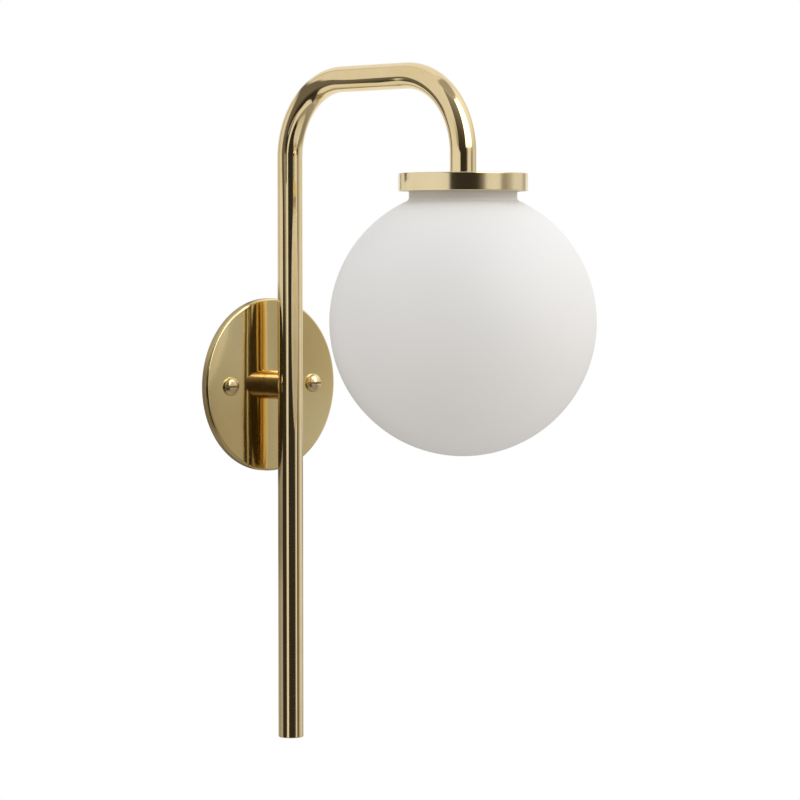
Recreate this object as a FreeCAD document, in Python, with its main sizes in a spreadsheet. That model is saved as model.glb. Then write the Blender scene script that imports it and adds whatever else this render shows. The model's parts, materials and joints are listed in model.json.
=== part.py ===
import FreeCAD, Part
import Sketcher
import math
import os
from collections import namedtuple

# Globe wall sconce, in millimetres. X points right, Y into the wall and Z up. The origin is the
# centre of the wall plate's back, on the face of the wall.
#
# Pieces on the wall plate's axis are drawn with their own Z pointing out of the wall. Pieces on the
# globe's axis are drawn from an origin on top of the gallery, so heights below it are negative.

# Every size that can be set by itself, with what it measures.
SIZES = (
    ("plate_radius", 69.0, "wall plate, outside"),
    ("plate_depth", 6.5, "wall to the plate's front face"),
    ("plate_wall", 1.5, "sheet of the wall plate"),
    ("plate_round", 2.5, "front edge of the wall plate"),
    ("screw_spacing", 88.9, "face screw to face screw, as on a 4 inch outlet box"),
    ("screw_shank", 2.0, "face screw's thread, radius"),
    ("screw_hole_gap", 0.4, "face screw to its hole in the plate, all round"),
    ("screw_tip_gap", 0.3, "face screw's tip to the wall"),
    ("head_radius", 7.65, "face screw's head"),
    ("head_side", 1.3, "upright side of that head"),
    ("head_dome", 2.7, "dome of that head"),
    ("head_slot_width", 1.2, "its screwdriver slot"),
    ("head_slot_depth", 1.7, "its screwdriver slot"),
    ("strap_length", 116.0, "mounting strap"),
    ("strap_width", 26.0, "mounting strap"),
    ("strap_thick", 2.0, "mounting strap"),
    ("strap_corner", 3.0, "corners of the mounting strap"),
    ("strap_hole", 9.3, "strap's middle hole, radius"),
    ("slot_spacing", 61.0, "middle to middle of the two wall slots"),
    ("slot_length", 16.0, "wall slot, end to end"),
    ("slot_width", 5.0, "wall slot"),
    ("collar_radius", 4.2, "drawn collar round each tapped hole of the strap"),
    ("collar_height", 2.6, "that collar above the strap"),
    ("tapped_gap", 0.05, "thread to tapped hole, all round"),
    ("earth_offset", 15.9, "plate's centre to the earth screw"),
    ("earth_shank", 1.95, "earth screw's thread, radius"),
    ("earth_head_radius", 3.4, "earth screw's head"),
    ("earth_head_height", 1.8, "earth screw's head"),
    ("earth_slot_width", 0.8, "earth screw's slot"),
    ("earth_slot_depth", 0.8, "earth screw's slot"),
    ("earth_washer_radius", 4.0, "washer under the earth screw"),
    ("earth_washer_thick", 0.8, "washer under the earth screw"),
    ("nipple_radius", 5.0, "M10 nipple, outside"),
    ("nipple_bore", 3.6, "M10 nipple, inside radius"),
    ("nut_across", 14.0, "lock nut across its flats"),
    ("nut_thick", 2.8, "lock nut"),
    ("washer_radius", 8.0, "washer under a lock nut"),
    ("washer_thick", 0.8, "washer under a lock nut"),
    ("tooth_notch", 1.1, "notch between two teeth of the lock washer, radius"),
    ("bush_flange_radius", 4.6, "wire bushing's flange"),
    ("bush_flange_thick", 0.6, "wire bushing's flange"),
    ("bush_wall", 0.6, "wire bushing's sleeve"),
    ("bush_length", 5.0, "wire bushing's sleeve"),
    ("standoff_radius", 11.5, "stub between plate and tube"),
    ("standoff_chamfer", 0.3, "stub's rear edge"),
    ("saddle_depth", 7.5, "stub's lips forward of the tube's rear"),
    ("braze_gap", 0.05, "gap filled by the braze metal"),
    ("tube_offset", 27.5, "wall to the axis of the upright tube"),
    ("tube_radius", 10.0, "arm tube, outside"),
    ("tube_wall", 1.5, "arm tube"),
    ("tail_length", 279.0, "plate's centre down to the tube's cut end"),
    ("arm_rise", 240.0, "plate's centre up to the axis of the top run"),
    ("arm_reach", 190.0, "upright axis to the globe's axis"),
    ("bend_radius", 60.0, "both bends, on the tube's axis"),
    ("wire_hole", 4.0, "hole in the tube's rear wall, radius"),
    ("end_cap_thick", 2.0, "visible disc of the tube's end cap"),
    ("end_cap_round", 0.6, "edge of that disc"),
    ("end_cap_plug", 8.0, "plug of the end cap inside the tube"),
    ("insert_length", 12.0, "tapped plug in the tube's front end"),
    ("gallery_rise", 165.0, "plate's centre up to the gallery's top"),
    ("gallery_radius", 48.5, "gallery, outside"),
    ("gallery_depth", 13.5, "gallery, top to rim"),
    ("gallery_wall", 1.5, "gallery's rim"),
    ("gallery_disc", 1.6, "gallery's top"),
    ("gallery_round", 0.8, "gallery's outer edges"),
    ("gallery_nipple_up", 10.5, "gallery nipple above the gallery's top"),
    ("gallery_nipple_down", 12.5, "gallery nipple below the gallery's top"),
    ("seat_gap", 0.1, "between pieces that seat on each other"),
    ("ring_fit", 0.1, "threaded ring inside the gallery's rim"),
    ("ring_top", 3.4, "gallery's top to the threaded ring"),
    ("neck_radius", 40.5, "globe's neck, outside"),
    ("glass_wall", 3.0, "globe's glass"),
    ("globe_radius", 100.0, "globe, outside"),
    ("neck_length", 4.64, "straight neck that shows below the gallery"),
    ("neck_fillet", 3.0, "neck into globe"),
    ("ridge_height", 1.75, "screw ridge on the neck"),
    ("ridge_foot", 3.0, "ridge's width at the neck"),
    ("ridge_tip", 1.5, "ridge's width at its crest"),
    ("ridge_sink", 0.4, "ridge's section inside the neck's wall"),
    ("ridge_start", 12.0, "gallery's top to the middle of the ridge's lower end"),
    ("globe_pitch", 6.0, "screw thread of the globe"),
    ("ridge_turns", 1.0, "turns of the ridge"),
    ("globe_thread_gap", 0.45, "ridge to groove, all round"),
    ("gasket_thick", 1.2, "ring between the lip and the gallery"),
    ("gasket_gap", 0.2, "that ring inside the edges of the lip"),
    ("holder_radius", 19.5, "lampholder, outside"),
    ("holder_wall", 1.9, "lampholder's housing"),
    ("boss_radius", 8.0, "lampholder's threaded entry"),
    ("boss_foot", 12.5, "gallery's top to the foot of that entry"),
    ("shoulder_foot", 24.0, "gallery's top to the foot of the lampholder's shoulder"),
    ("holder_joint", 28.0, "gallery's top to the joint between cap and skirt"),
    ("spigot_length", 5.0, "cap's spigot inside the skirt"),
    ("mouth_drop", 57.0, "gallery's top to the lampholder's mouth"),
    ("mouth_radius", 14.7, "lampholder's mouth"),
    ("mouth_round", 1.2, "outer edge of that mouth"),
    ("core_drop", 30.0, "gallery's top to the ceramic core"),
    ("core_thick", 6.0, "ceramic core"),
    ("core_radius", 15.4, "ceramic core"),
    ("core_hole", 1.6, "middle hole of the ceramic core"),
    ("core_lip", 1.6, "step inside the cap that holds the core down"),
    ("terminal_offset", 6.0, "holder's axis to the middle of a terminal"),
    ("terminal_width", 6.0, "terminal block, side to side"),
    ("terminal_depth", 5.6, "terminal block, front to back"),
    ("terminal_height", 6.0, "terminal block"),
    ("terminal_bore", 4.0, "depth of the wire hole in a terminal"),
    ("terminal_screw", 1.4, "terminal screw's shank, radius"),
    ("terminal_head", 2.3, "terminal screw's head, radius"),
    ("terminal_head_height", 1.6, "terminal screw's head"),
    ("terminal_screw_in", 1.5, "terminal screw inside its block"),
    ("contact_thick", 0.4, "spring contact strip"),
    ("contact_width", 5.0, "spring contact strip"),
    ("contact_reach", 7.0, "holder's axis to the strip's fixed ends"),
    ("contact_flat", 3.0, "fixed flat at each end of the strip"),
    ("contact_tongue", 2.0, "half of the strip's middle flat"),
    ("shell_radius", 14.2, "holder's screw shell, outside"),
    ("shell_top_thick", 0.7, "holder's screw shell, top"),
    ("shell_top_hole", 9.0, "hole in the shell's top, radius"),
    ("lamp_drop", 38.3, "gallery's top to the lamp's contact"),
    ("lamp_thread_root", 12.15, "lamp's E27 thread, radius at its root"),
    ("lamp_thread_crest", 13.15, "lamp's E27 thread, radius at its crest"),
    ("lamp_thread_foot", 2.4, "thread's width at its root"),
    ("lamp_thread_tip", 1.0, "thread's width at its crest"),
    ("lamp_pitch", 3.629, "seven turns to the inch"),
    ("lamp_thread_turns", 3.5, "turns on the lamp's cap"),
    ("lamp_thread_gap", 0.2, "lamp's thread to the holder's, all round"),
    ("lamp_thread_start", 15.0, "lamp's contact to the middle of its lowest turn"),
    ("lamp_shell_top", 3.6, "lamp's contact to the top of its threaded shell"),
    ("lamp_shell_wall", 0.9, "lamp's threaded shell"),
    ("lamp_cap_length", 27.0, "lamp's contact to the end of its cap"),
    ("lamp_collar_top", 19.4, "lamp's contact to its cap's smooth collar"),
    ("lamp_collar_radius", 14.0, "lamp cap's smooth collar"),
    ("lamp_contact_radius", 4.6, "lamp's centre contact"),
    ("lamp_contact_thick", 1.0, "lamp's centre contact"),
    ("insulator_top", 5.2, "glass insulator's radius at the contact"),
    ("lamp_radius", 30.0, "lamp's bulb"),
    ("lamp_length", 106.0, "lamp, contact to foot"),
    ("lamp_glass", 0.8, "lamp's glass"),
    ("lamp_neck", 13.0, "lamp's glass neck, radius"),
    ("lamp_taper", 22.0, "slope of the lamp's shoulder in degrees from its axis"),
    ("lamp_tuck", 2.0, "lamp's glass inside its cap"),
    ("stem_radius", 2.2, "glass rod inside the lamp"),
    ("stem_foot_drop", 8.0, "foot of the rod's flare below the cap's end"),
    ("crown_radius", 8.5, "metal disc that carries the filaments"),
    ("crown_thick", 0.8, "metal disc that carries the filaments"),
    ("crown_drop", 44.0, "lamp's contact to the upper disc"),
    ("filament_length", 36.0, "filament stick"),
    ("filament_radius", 0.9, "filament stick"),
    ("filament_offset", 6.5, "lamp's axis to a filament"),
    ("wire_radius", 0.95, "insulated wire"),
    ("wire_spread", 1.45, "arm's middle plane to a wire"),
    ("wire_turn", 14.0, "wire's bend from the nipple up into the tube"),
    ("wire_part_top", 1.0, "where the wires part, above the gallery nipple's foot"),
    ("wire_part_foot", 3.0, "where they run straight again, above the terminals"),
    ("wire_end_gap", 0.5, "wire's end to the floor of its terminal"),
    ("wire_bore_gap", 0.25, "wire to its hole in a terminal, all round"),
)
FILAMENTS = 4
LOCK_TEETH = 8
# An arc between two runs takes this share of the shorter one.
ARC_SHARE = 0.45

Arc = namedtuple("Arc", "x y radius turn")
LEFT = 1
RIGHT = -1


class Size:
    """A number with the sheet formula that gives it, so that features can be tied to the sheet."""

    def __init__(self, value, formula):
        self.value = value
        self.formula = formula

    def _with(self, sign, other, value):
        return Size(value, "(%s %s %s)" % (self.formula, sign, text(other)))

    def __add__(self, other):
        return self._with("+", other, self.value + number(other))

    def __sub__(self, other):
        return self._with("-", other, self.value - number(other))

    def __mul__(self, other):
        return self._with("*", other, self.value * number(other))

    def __truediv__(self, other):
        return self._with("/", other, self.value / number(other))

    def __neg__(self):
        return Size(-self.value, "(0 - %s)" % self.formula)

    def __radd__(self, other):
        return Size(number(other), text(other)) + self

    def __rsub__(self, other):
        return Size(number(other), text(other)) - self

    def __rmul__(self, other):
        return Size(number(other), text(other)) * self


def number(amount):
    return amount.value if isinstance(amount, Size) else float(amount)


def text(amount):
    return amount.formula if isinstance(amount, Size) else "(%.6f)" % amount


def root(amount):
    return Size(math.sqrt(number(amount)), "sqrt(%s)" % text(amount))


def sine(degrees):
    return Size(math.sin(math.radians(number(degrees))), "sin(%s * 1 deg)" % text(degrees))


def cosine(degrees):
    return Size(math.cos(math.radians(number(degrees))), "cos(%s * 1 deg)" % text(degrees))


def make_sheet(doc):
    """Put the sizes in a spreadsheet and return them by name, each as a Size."""
    sheet = doc.addObject("Spreadsheet::Sheet", "sizes")
    named = {}
    for row, (name, value, note) in enumerate(SIZES, 1):
        sheet.set("A%d" % row, name)
        sheet.set("B%d" % row, str(value))
        sheet.set("C%d" % row, note)
        sheet.setAlias("B%d" % row, name)
        named[name] = Size(value, "sizes.%s" % name)
    doc.recompute()
    return namedtuple("Named", named)(**named)


doc = FreeCAD.newDocument("globe_wall_sconce")
size = make_sheet(doc)
nodes = []

# Places that several pieces share. Those with a minus sign are below the gallery's top.
globe_axis = size.tube_offset + size.arm_reach
tube_bore = size.tube_radius - size.tube_wall
tapped_radius = size.nipple_radius + size.tapped_gap
plate_inside = size.plate_depth - size.plate_wall
wall_washer_rear = plate_inside - size.washer_thick
wall_nipple_rear = size.bush_flange_thick
wall_nipple_front = size.tube_offset - size.tube_radius - size.seat_gap * 2
gallery_under = -size.gallery_disc
gallery_bore = size.gallery_radius - size.gallery_wall
gallery_washer_foot = gallery_under - size.washer_thick
gallery_nut_foot = gallery_washer_foot - size.nut_thick
gasket_foot = gallery_under - size.seat_gap - size.gasket_thick
lip_top = gasket_foot - size.seat_gap
neck_inside = size.neck_radius - size.glass_wall
core_foot = -(size.core_drop + size.core_thick)
spigot_foot = -(size.holder_joint + size.spigot_length)
lamp_top = -size.lamp_drop
bulb_centre = lamp_top - size.lamp_length + size.lamp_radius


def origin_plane(body, role):
    return next(o for o in body.Origin.OriginFeatures if o.Role == role)


def bind(thing, prop, amount):
    """Set a property and tie it to the sheet."""
    thing.setExpression(prop, text(amount))


def new_body(name):
    body = doc.addObject("PartDesign::Body", name)
    body.AllowCompound = True
    return body


def new_node(name):
    """A body that is a piece of its own."""
    body = new_body(name)
    nodes.append(body)
    return body


def place(thing, x=0, y=0, z=0, turn=None):
    """Turn a piece and set it down at a place tied to the sheet."""
    if turn is not None:
        thing.Placement = FreeCAD.Placement(FreeCAD.Vector(), turn)
    for axis, amount in zip("xyz", (x, y, z)):
        bind(thing, "Placement.Base." + axis, amount)


def on_wall_axis(body, x=0):
    """The body's Z points out of the wall and its Y up."""
    place(body, x=x, turn=FreeCAD.Rotation(FreeCAD.Vector(1, 0, 0), 90))


def on_globe_axis(body):
    """The body's origin lies on top of the gallery, on the globe's axis."""
    place(body, y=-globe_axis, z=size.gallery_rise)


def new_sketch(body, name, role):
    sketch = body.newObject("Sketcher::SketchObject", name)
    sketch.AttachmentSupport = [(origin_plane(body, role), "")]
    sketch.MapMode = "FlatFace"
    return sketch


def arc_through(start, end, radius, turn):
    """The arc under half a circle from start to end that turns left or right."""
    chord = end - start
    left = FreeCAD.Vector(-chord.y, chord.x, 0).normalize()
    height = math.sqrt(max(radius * radius - chord.Length ** 2 / 4, 0))
    centre = (start + end) * 0.5 + left * (turn * height)
    angles = [math.atan2(p.y - centre.y, p.x - centre.x) for p in (start, end)]
    if turn == RIGHT:
        angles.reverse()
    if angles[1] < angles[0]:
        angles[1] += 2 * math.pi
    return Part.ArcOfCircle(Part.Circle(centre, FreeCAD.Vector(0, 0, 1), radius), *angles)


def hold(sketch, kind, amount, *geometry):
    """Add one dimension to a sketch and tie it to the sheet."""
    held = sketch.addConstraint(Sketcher.Constraint(kind, *geometry, number(amount)))
    sketch.setExpression("Constraints[%d]" % held, text(amount))


def fix_point(sketch, side, end, x, y):
    hold(sketch, "DistanceX", x, -1, 1, side, end)
    hold(sketch, "DistanceY", y, -1, 1, side, end)


def outline(body, name, corners, role="XZ_Plane", closed=True):
    """A sketch through the corners, each tied to the sheet. The side that ends at an Arc is one."""
    sketch = new_sketch(body, name, role)
    spots = [FreeCAD.Vector(number(c[0]), number(c[1]), 0) for c in corners]
    sides = len(corners) if closed else len(corners) - 1
    ends = []
    for side in range(sides):
        after = (side + 1) % len(corners)
        corner = corners[after]
        if isinstance(corner, Arc):
            edge = arc_through(spots[side], spots[after], number(corner.radius), corner.turn)
            ends.append((1, 2) if corner.turn == LEFT else (2, 1))
        else:
            edge = Part.LineSegment(spots[side], spots[after])
            ends.append((1, 2))
        sketch.addGeometry(edge, False)
    for side in range(sides if closed else sides - 1):
        after = (side + 1) % sides
        joint = Sketcher.Constraint("Coincident", side, ends[side][1], after, ends[after][0])
        sketch.addConstraint(joint)
    for side in range(sides):
        fix_point(sketch, side, ends[side][0], *corners[side][:2])
        corner = corners[(side + 1) % len(corners)]
        if isinstance(corner, Arc):
            hold(sketch, "Radius", corner.radius, side)
    if not closed:
        fix_point(sketch, sides - 1, ends[-1][1], *corners[-1][:2])
    return sketch


def circles(body, name, rounds, role="XY_Plane"):
    """A sketch of circles, each given as x, y and radius."""
    sketch = new_sketch(body, name, role)
    for index, (x, y, radius) in enumerate(rounds):
        centre = FreeCAD.Vector(number(x), number(y), 0)
        circle = Part.Circle(centre, FreeCAD.Vector(0, 0, 1), number(radius))
        sketch.addGeometry(circle, False)
        fix_point(sketch, index, 3, x, y)
        hold(sketch, "Radius", radius, index)
    return sketch


def box_section(left, right, low, high):
    """Corners of a rectangle by its sides."""
    return [(left, low), (right, low), (right, high), (left, high)]


def hexagon(across):
    """Corners of a hexagon by the distance across its flats."""
    circle = across / math.sqrt(3)
    angles = [math.radians(60 * corner) for corner in range(6)]
    return [(circle * math.cos(a), circle * math.sin(a)) for a in angles]


def slot_outline(middle, length, width):
    """Corners of a slot along X, each round end in two quarters."""
    half = width / 2
    left = middle - length / 2 + half
    right = middle + length / 2 - half
    return [
        Arc(left, -half, half, LEFT),
        (right, -half),
        Arc(right + half, 0, half, LEFT),
        Arc(right, half, half, LEFT),
        (left, half),
        Arc(left - half, 0, half, LEFT),
    ]


def round_cornered(length, width, corner):
    """Corners of a rectangle with rounded corners about the origin."""
    x = length / 2
    y = width / 2
    return [
        Arc(corner - x, -y, corner, LEFT),
        (x - corner, -y),
        Arc(x, corner - y, corner, LEFT),
        (x, y - corner),
        Arc(x - corner, y, corner, LEFT),
        (corner - x, y),
        Arc(-x, y - corner, corner, LEFT),
        (-x, corner - y),
    ]


def thread_section(base, crest, foot, tip, middle):
    """Corners of a thread's section, as wide as foot at its base and as tip at its crest."""
    return [
        (base, middle - foot / 2),
        (crest, middle - tip / 2),
        (crest, middle + tip / 2),
        (base, middle + foot / 2),
    ]


def turned(body, corners):
    """Turn a closed profile round the body's Z axis."""
    sketch = outline(body, "profile", corners)
    feature = body.newObject("PartDesign::Revolution", "turned_profile")
    feature.Profile = sketch
    feature.ReferenceAxis = (sketch, ["V_Axis"])
    feature.Angle = 360
    return feature


def raised(body, sketch, length):
    """Pad a sketch along its normal."""
    feature = body.newObject("PartDesign::Pad", sketch.Name + "_pad")
    feature.Profile = sketch
    bind(feature, "Length", length)
    return feature


def cut_through(body, sketch):
    """Cut a sketch through the whole body, both ways."""
    feature = body.newObject("PartDesign::Pocket", sketch.Name + "_cut")
    feature.Profile = sketch
    feature.Type = "ThroughAll"
    feature.Midplane = True
    return feature


def cut_to(body, sketch, depth, forward=False):
    """Cut a sketch to a depth, along its normal if forward and against it otherwise."""
    feature = body.newObject("PartDesign::Pocket", sketch.Name + "_cut")
    feature.Profile = sketch
    bind(feature, "Length", depth)
    feature.Reversed = forward
    return feature


def lift(sketch, height):
    """Move a sketch along its normal."""
    bind(sketch, "AttachmentOffset.Base.z", height)
    return sketch


def wound(body, kind, corners, pitch, height):
    """Wind a section round the body's Z axis as a right-hand thread that climbs from it."""
    sketch = outline(body, "thread_section", corners)
    feature = body.newObject("PartDesign::" + kind, "thread")
    feature.Profile = sketch
    feature.ReferenceAxis = (sketch, ["V_Axis"])
    feature.Mode = "pitch-height-angle"
    bind(feature, "Pitch", pitch)
    bind(feature, "Height", height)
    return feature


def repeated_round(body, features, count):
    """Repeat features evenly round the body's Z axis."""
    doc.recompute()
    feature = body.newObject("PartDesign::PolarPattern", "repeated_round")
    feature.Originals = features
    feature.Axis = (origin_plane(body, "Z_Axis"), [""])
    feature.Angle = 360
    feature.Occurrences = count
    body.Tip = feature
    return feature


def pair_across(name, form):
    """A piece and its mirror image across the middle plane, as one node."""
    other = doc.addObject("Part::Mirroring", name + "_other")
    other.Source = form
    other.Normal = FreeCAD.Vector(1, 0, 0)
    both = doc.addObject("Part::Compound", name)
    both.Links = [form, other]
    nodes.append(both)
    return both


# The wall plate, what fixes it and the standoff


def make_backplate():
    """A spun pan with a rounded front edge."""
    body = new_node("backplate")
    bend = size.plate_depth - size.plate_round
    flat = size.plate_radius - size.plate_round
    inside = size.plate_radius - size.plate_wall
    turned(body, [
        (tapped_radius, plate_inside),
        (tapped_radius, size.plate_depth),
        (flat, size.plate_depth),
        Arc(size.plate_radius, bend, size.plate_round, RIGHT),
        (size.plate_radius, 0),
        (inside, 0),
        (inside, bend),
        Arc(flat, plate_inside, size.plate_round - size.plate_wall, LEFT),
    ])
    hole = size.screw_shank + size.screw_hole_gap
    spots = [(size.screw_spacing * (side / 2), 0, hole) for side in (-1, 1)]
    cut_through(body, circles(body, "screw_holes", spots))
    on_wall_axis(body)


def make_mounting_strap():
    """A steel bar flat on the wall, with two wall slots and a tapped collar near each end."""
    body = new_node("mounting_strap")
    strip = round_cornered(size.strap_length, size.strap_width, size.strap_corner)
    raised(body, outline(body, "strip", strip, role="XY_Plane"), size.strap_thick)
    ends = [size.screw_spacing * (side / 2) for side in (-1, 1)]
    collars = circles(body, "collars", [(x, 0, size.collar_radius) for x in ends])
    raised(body, collars, size.strap_thick + size.collar_height)
    tapped = size.screw_shank + size.tapped_gap
    spots = [(x, 0, tapped) for x in ends]
    spots.append((0, 0, size.strap_hole))
    spots.append((size.earth_offset, 0, size.earth_shank + size.tapped_gap))
    cut_through(body, circles(body, "round_holes", spots))
    for name, side in (("left_slot", -1), ("right_slot", 1)):
        slot = slot_outline(size.slot_spacing * (side / 2), size.slot_length, size.slot_width)
        cut_through(body, outline(body, name, slot, role="XY_Plane"))
    on_wall_axis(body)


def slotted_screw(body, shank, tip, seat, head, head_corners, slot_width, slot_depth):
    """A screw along the body's Z from its tip to its head on the seat, with a slot along X."""
    top = head_corners[-1][1]
    turned(body, [(0, tip), (shank, tip), (shank, seat), (head, seat)] + head_corners)
    reach = head * 1.1
    slot = box_section(-reach, reach, -slot_width / 2, slot_width / 2)
    sketch = lift(outline(body, "slot", slot, role="XY_Plane"), top - slot_depth)
    cut_to(body, sketch, slot_depth * 2, forward=True)


def make_face_screws():
    """Two slotted screws with high round heads that hold the plate on the strap."""
    form = new_body("face_screw")
    seat = size.plate_depth
    side = seat + size.head_side
    dome = size.head_dome
    bow = (size.head_radius * size.head_radius + dome * dome) / (dome * 2)
    head = [(size.head_radius, side), Arc(0, side + dome, bow, LEFT)]
    slotted_screw(form, size.screw_shank, size.screw_tip_gap, seat, size.head_radius, head,
                  size.head_slot_width, size.head_slot_depth)
    on_wall_axis(form, x=size.screw_spacing / 2)
    pair_across("face_screws", form)


def make_earth_screw():
    body = new_node("earth_screw")
    seat = size.strap_thick + size.earth_washer_thick
    top = seat + size.earth_head_height
    head = [(size.earth_head_radius, top), (0, top)]
    slotted_screw(body, size.earth_shank, size.screw_tip_gap, seat, size.earth_head_radius, head,
                  size.earth_slot_width, size.earth_slot_depth)
    on_wall_axis(body, x=size.earth_offset)


def make_earth_washer():
    body = new_node("earth_washer")
    hole = size.earth_shank + size.screw_hole_gap
    front = size.strap_thick + size.earth_washer_thick
    turned(body, box_section(hole, size.earth_washer_radius, size.strap_thick, front))
    on_wall_axis(body, x=size.earth_offset)


def make_wall_nipple():
    """The hollow screw that joins plate and standoff and lets the wires through."""
    body = new_node("wall_nipple")
    turned(body, box_section(size.nipple_bore, size.nipple_radius,
                             wall_nipple_rear, wall_nipple_front))
    on_wall_axis(body)


def lock_nut(body, foot):
    """A hexagonal nut for the nipple with its foot at a height on the body's Z."""
    flats = lift(outline(body, "flats", hexagon(size.nut_across), role="XY_Plane"), foot)
    raised(body, flats, size.nut_thick)
    cut_through(body, circles(body, "tapped_hole", [(0, 0, tapped_radius)]))


def make_wall_locknut():
    body = new_node("wall_locknut")
    lock_nut(body, wall_washer_rear - size.nut_thick)
    on_wall_axis(body)


def make_wall_lock_washer():
    """A washer with teeth that bite the plate, so that the arm can't turn and is earthed."""
    body = new_node("wall_lock_washer")
    turned(body, box_section(tapped_radius, size.washer_radius, wall_washer_rear, plate_inside))
    notch = circles(body, "notch", [(size.washer_radius, 0, size.tooth_notch)])
    repeated_round(body, [cut_through(body, notch)], LOCK_TEETH)
    on_wall_axis(body)


def make_wire_bushing():
    """A plastic bush that keeps the nipple's rim off the wires."""
    body = new_node("wire_bushing")
    outside = size.nipple_bore - size.tapped_gap
    inside = outside - size.bush_wall
    turned(body, [
        (inside, 0),
        (size.bush_flange_radius, 0),
        (size.bush_flange_radius, size.bush_flange_thick),
        (outside, size.bush_flange_thick),
        (outside, size.bush_flange_thick + size.bush_length),
        (inside, size.bush_flange_thick + size.bush_length),
    ])
    on_wall_axis(body)


def make_standoff():
    """A bored stub whose front end is saddled round the tube."""
    body = new_node("standoff")
    lips = size.tube_offset - size.tube_radius + size.saddle_depth
    turned(body, [
        (tapped_radius, size.plate_depth),
        (size.standoff_radius - size.standoff_chamfer, size.plate_depth),
        (size.standoff_radius, size.plate_depth + size.standoff_chamfer),
        (size.standoff_radius, lips),
        (tapped_radius, lips),
    ])
    saddle = size.tube_radius + size.braze_gap
    cut_through(body, circles(body, "saddle", [(0, size.tube_offset, saddle)], role="XZ_Plane"))
    on_wall_axis(body)


# The arm


def make_arm_tube():
    """One tube from its lower end up, forward and down to the gallery."""
    body = new_node("arm_tube")
    top = size.arm_rise + size.tail_length
    bend = size.bend_radius
    foot = size.gallery_rise + size.tail_length
    route = outline(body, "route", [
        (0, 0),
        (0, top - bend),
        Arc(-bend, top, bend, LEFT),
        (bend - size.arm_reach, top),
        Arc(-size.arm_reach, top - bend, bend, LEFT),
        (-size.arm_reach, foot),
    ], role="YZ_Plane", closed=False)
    section = circles(body, "section", [(0, 0, size.tube_radius), (0, 0, tube_bore)])
    pipe = body.newObject("PartDesign::AdditivePipe", "bent_tube")
    pipe.Profile = section
    pipe.Spine = route
    hole = circles(body, "wire_hole", [(0, size.tail_length, size.wire_hole)], role="XZ_Plane")
    cut_to(body, hole, size.tube_radius + size.tube_wall)
    place(body, y=-size.tube_offset, z=-size.tail_length)


def make_arm_end_cap():
    """A thin disc with a plug that closes the tube's lower end."""
    body = new_node("arm_end_cap")
    edge = size.tube_radius - size.end_cap_round
    plug = tube_bore - size.braze_gap
    turned(body, [
        (0, -size.end_cap_thick),
        (edge, -size.end_cap_thick),
        Arc(size.tube_radius, size.end_cap_round - size.end_cap_thick, size.end_cap_round, LEFT),
        (size.tube_radius, 0),
        (plug, 0),
        (plug, size.end_cap_plug),
        (0, size.end_cap_plug),
    ])
    place(body, y=-size.tube_offset, z=-size.tail_length)


def make_arm_insert():
    """The tapped plug in the tube's front end."""
    body = new_node("arm_insert")
    turned(body, box_section(tapped_radius, tube_bore - size.braze_gap, 0, size.insert_length))
    on_globe_axis(body)


# The gallery and the globe


def make_gallery_cap():
    """A shallow cup with softened edges."""
    body = new_node("gallery_cap")
    edge = size.gallery_round
    rim = -size.gallery_depth
    flat = size.gallery_radius - edge
    turned(body, [
        (tapped_radius, gallery_under),
        (gallery_bore, gallery_under),
        (gallery_bore, rim),
        (flat, rim),
        Arc(size.gallery_radius, rim + edge, edge, LEFT),
        (size.gallery_radius, -edge),
        Arc(flat, 0, edge, LEFT),
        (tapped_radius, 0),
    ])
    on_globe_axis(body)


def make_gallery_nipple():
    """The hollow screw that hangs the gallery and the lampholder on the tube."""
    body = new_node("gallery_nipple")
    turned(body, box_section(size.nipple_bore, size.nipple_radius,
                             -size.gallery_nipple_down, size.gallery_nipple_up))
    on_globe_axis(body)


def make_gallery_washer():
    body = new_node("gallery_washer")
    turned(body, box_section(tapped_radius, size.washer_radius, gallery_washer_foot, gallery_under))
    on_globe_axis(body)


def make_gallery_locknut():
    body = new_node("gallery_locknut")
    lock_nut(body, gallery_nut_foot)
    on_globe_axis(body)


def make_globe_ring():
    """The ring fixed inside the gallery, with the groove that the neck's ridge runs in."""
    body = new_node("globe_ring")
    gap = size.globe_thread_gap
    bore = size.neck_radius + gap
    turned(body, box_section(bore, gallery_bore - size.ring_fit,
                             -size.gallery_depth, -size.ring_top))
    start = -(size.ridge_start + size.globe_pitch)
    grow = gap * 2
    wound(body, "SubtractiveHelix",
          thread_section(size.neck_radius, size.neck_radius + size.ridge_height + gap,
                         size.ridge_foot + grow, size.ridge_tip + grow, start),
          size.globe_pitch, size.globe_pitch * (size.ridge_turns + 1) + gap)
    on_globe_axis(body)


def make_globe_gasket():
    """A silicone ring that lies on the glass lip and travels with it."""
    body = new_node("globe_gasket")
    turned(body, box_section(neck_inside + size.gasket_gap, size.neck_radius - size.gasket_gap,
                             gasket_foot, gasket_foot + size.gasket_thick))
    on_globe_axis(body)


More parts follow.
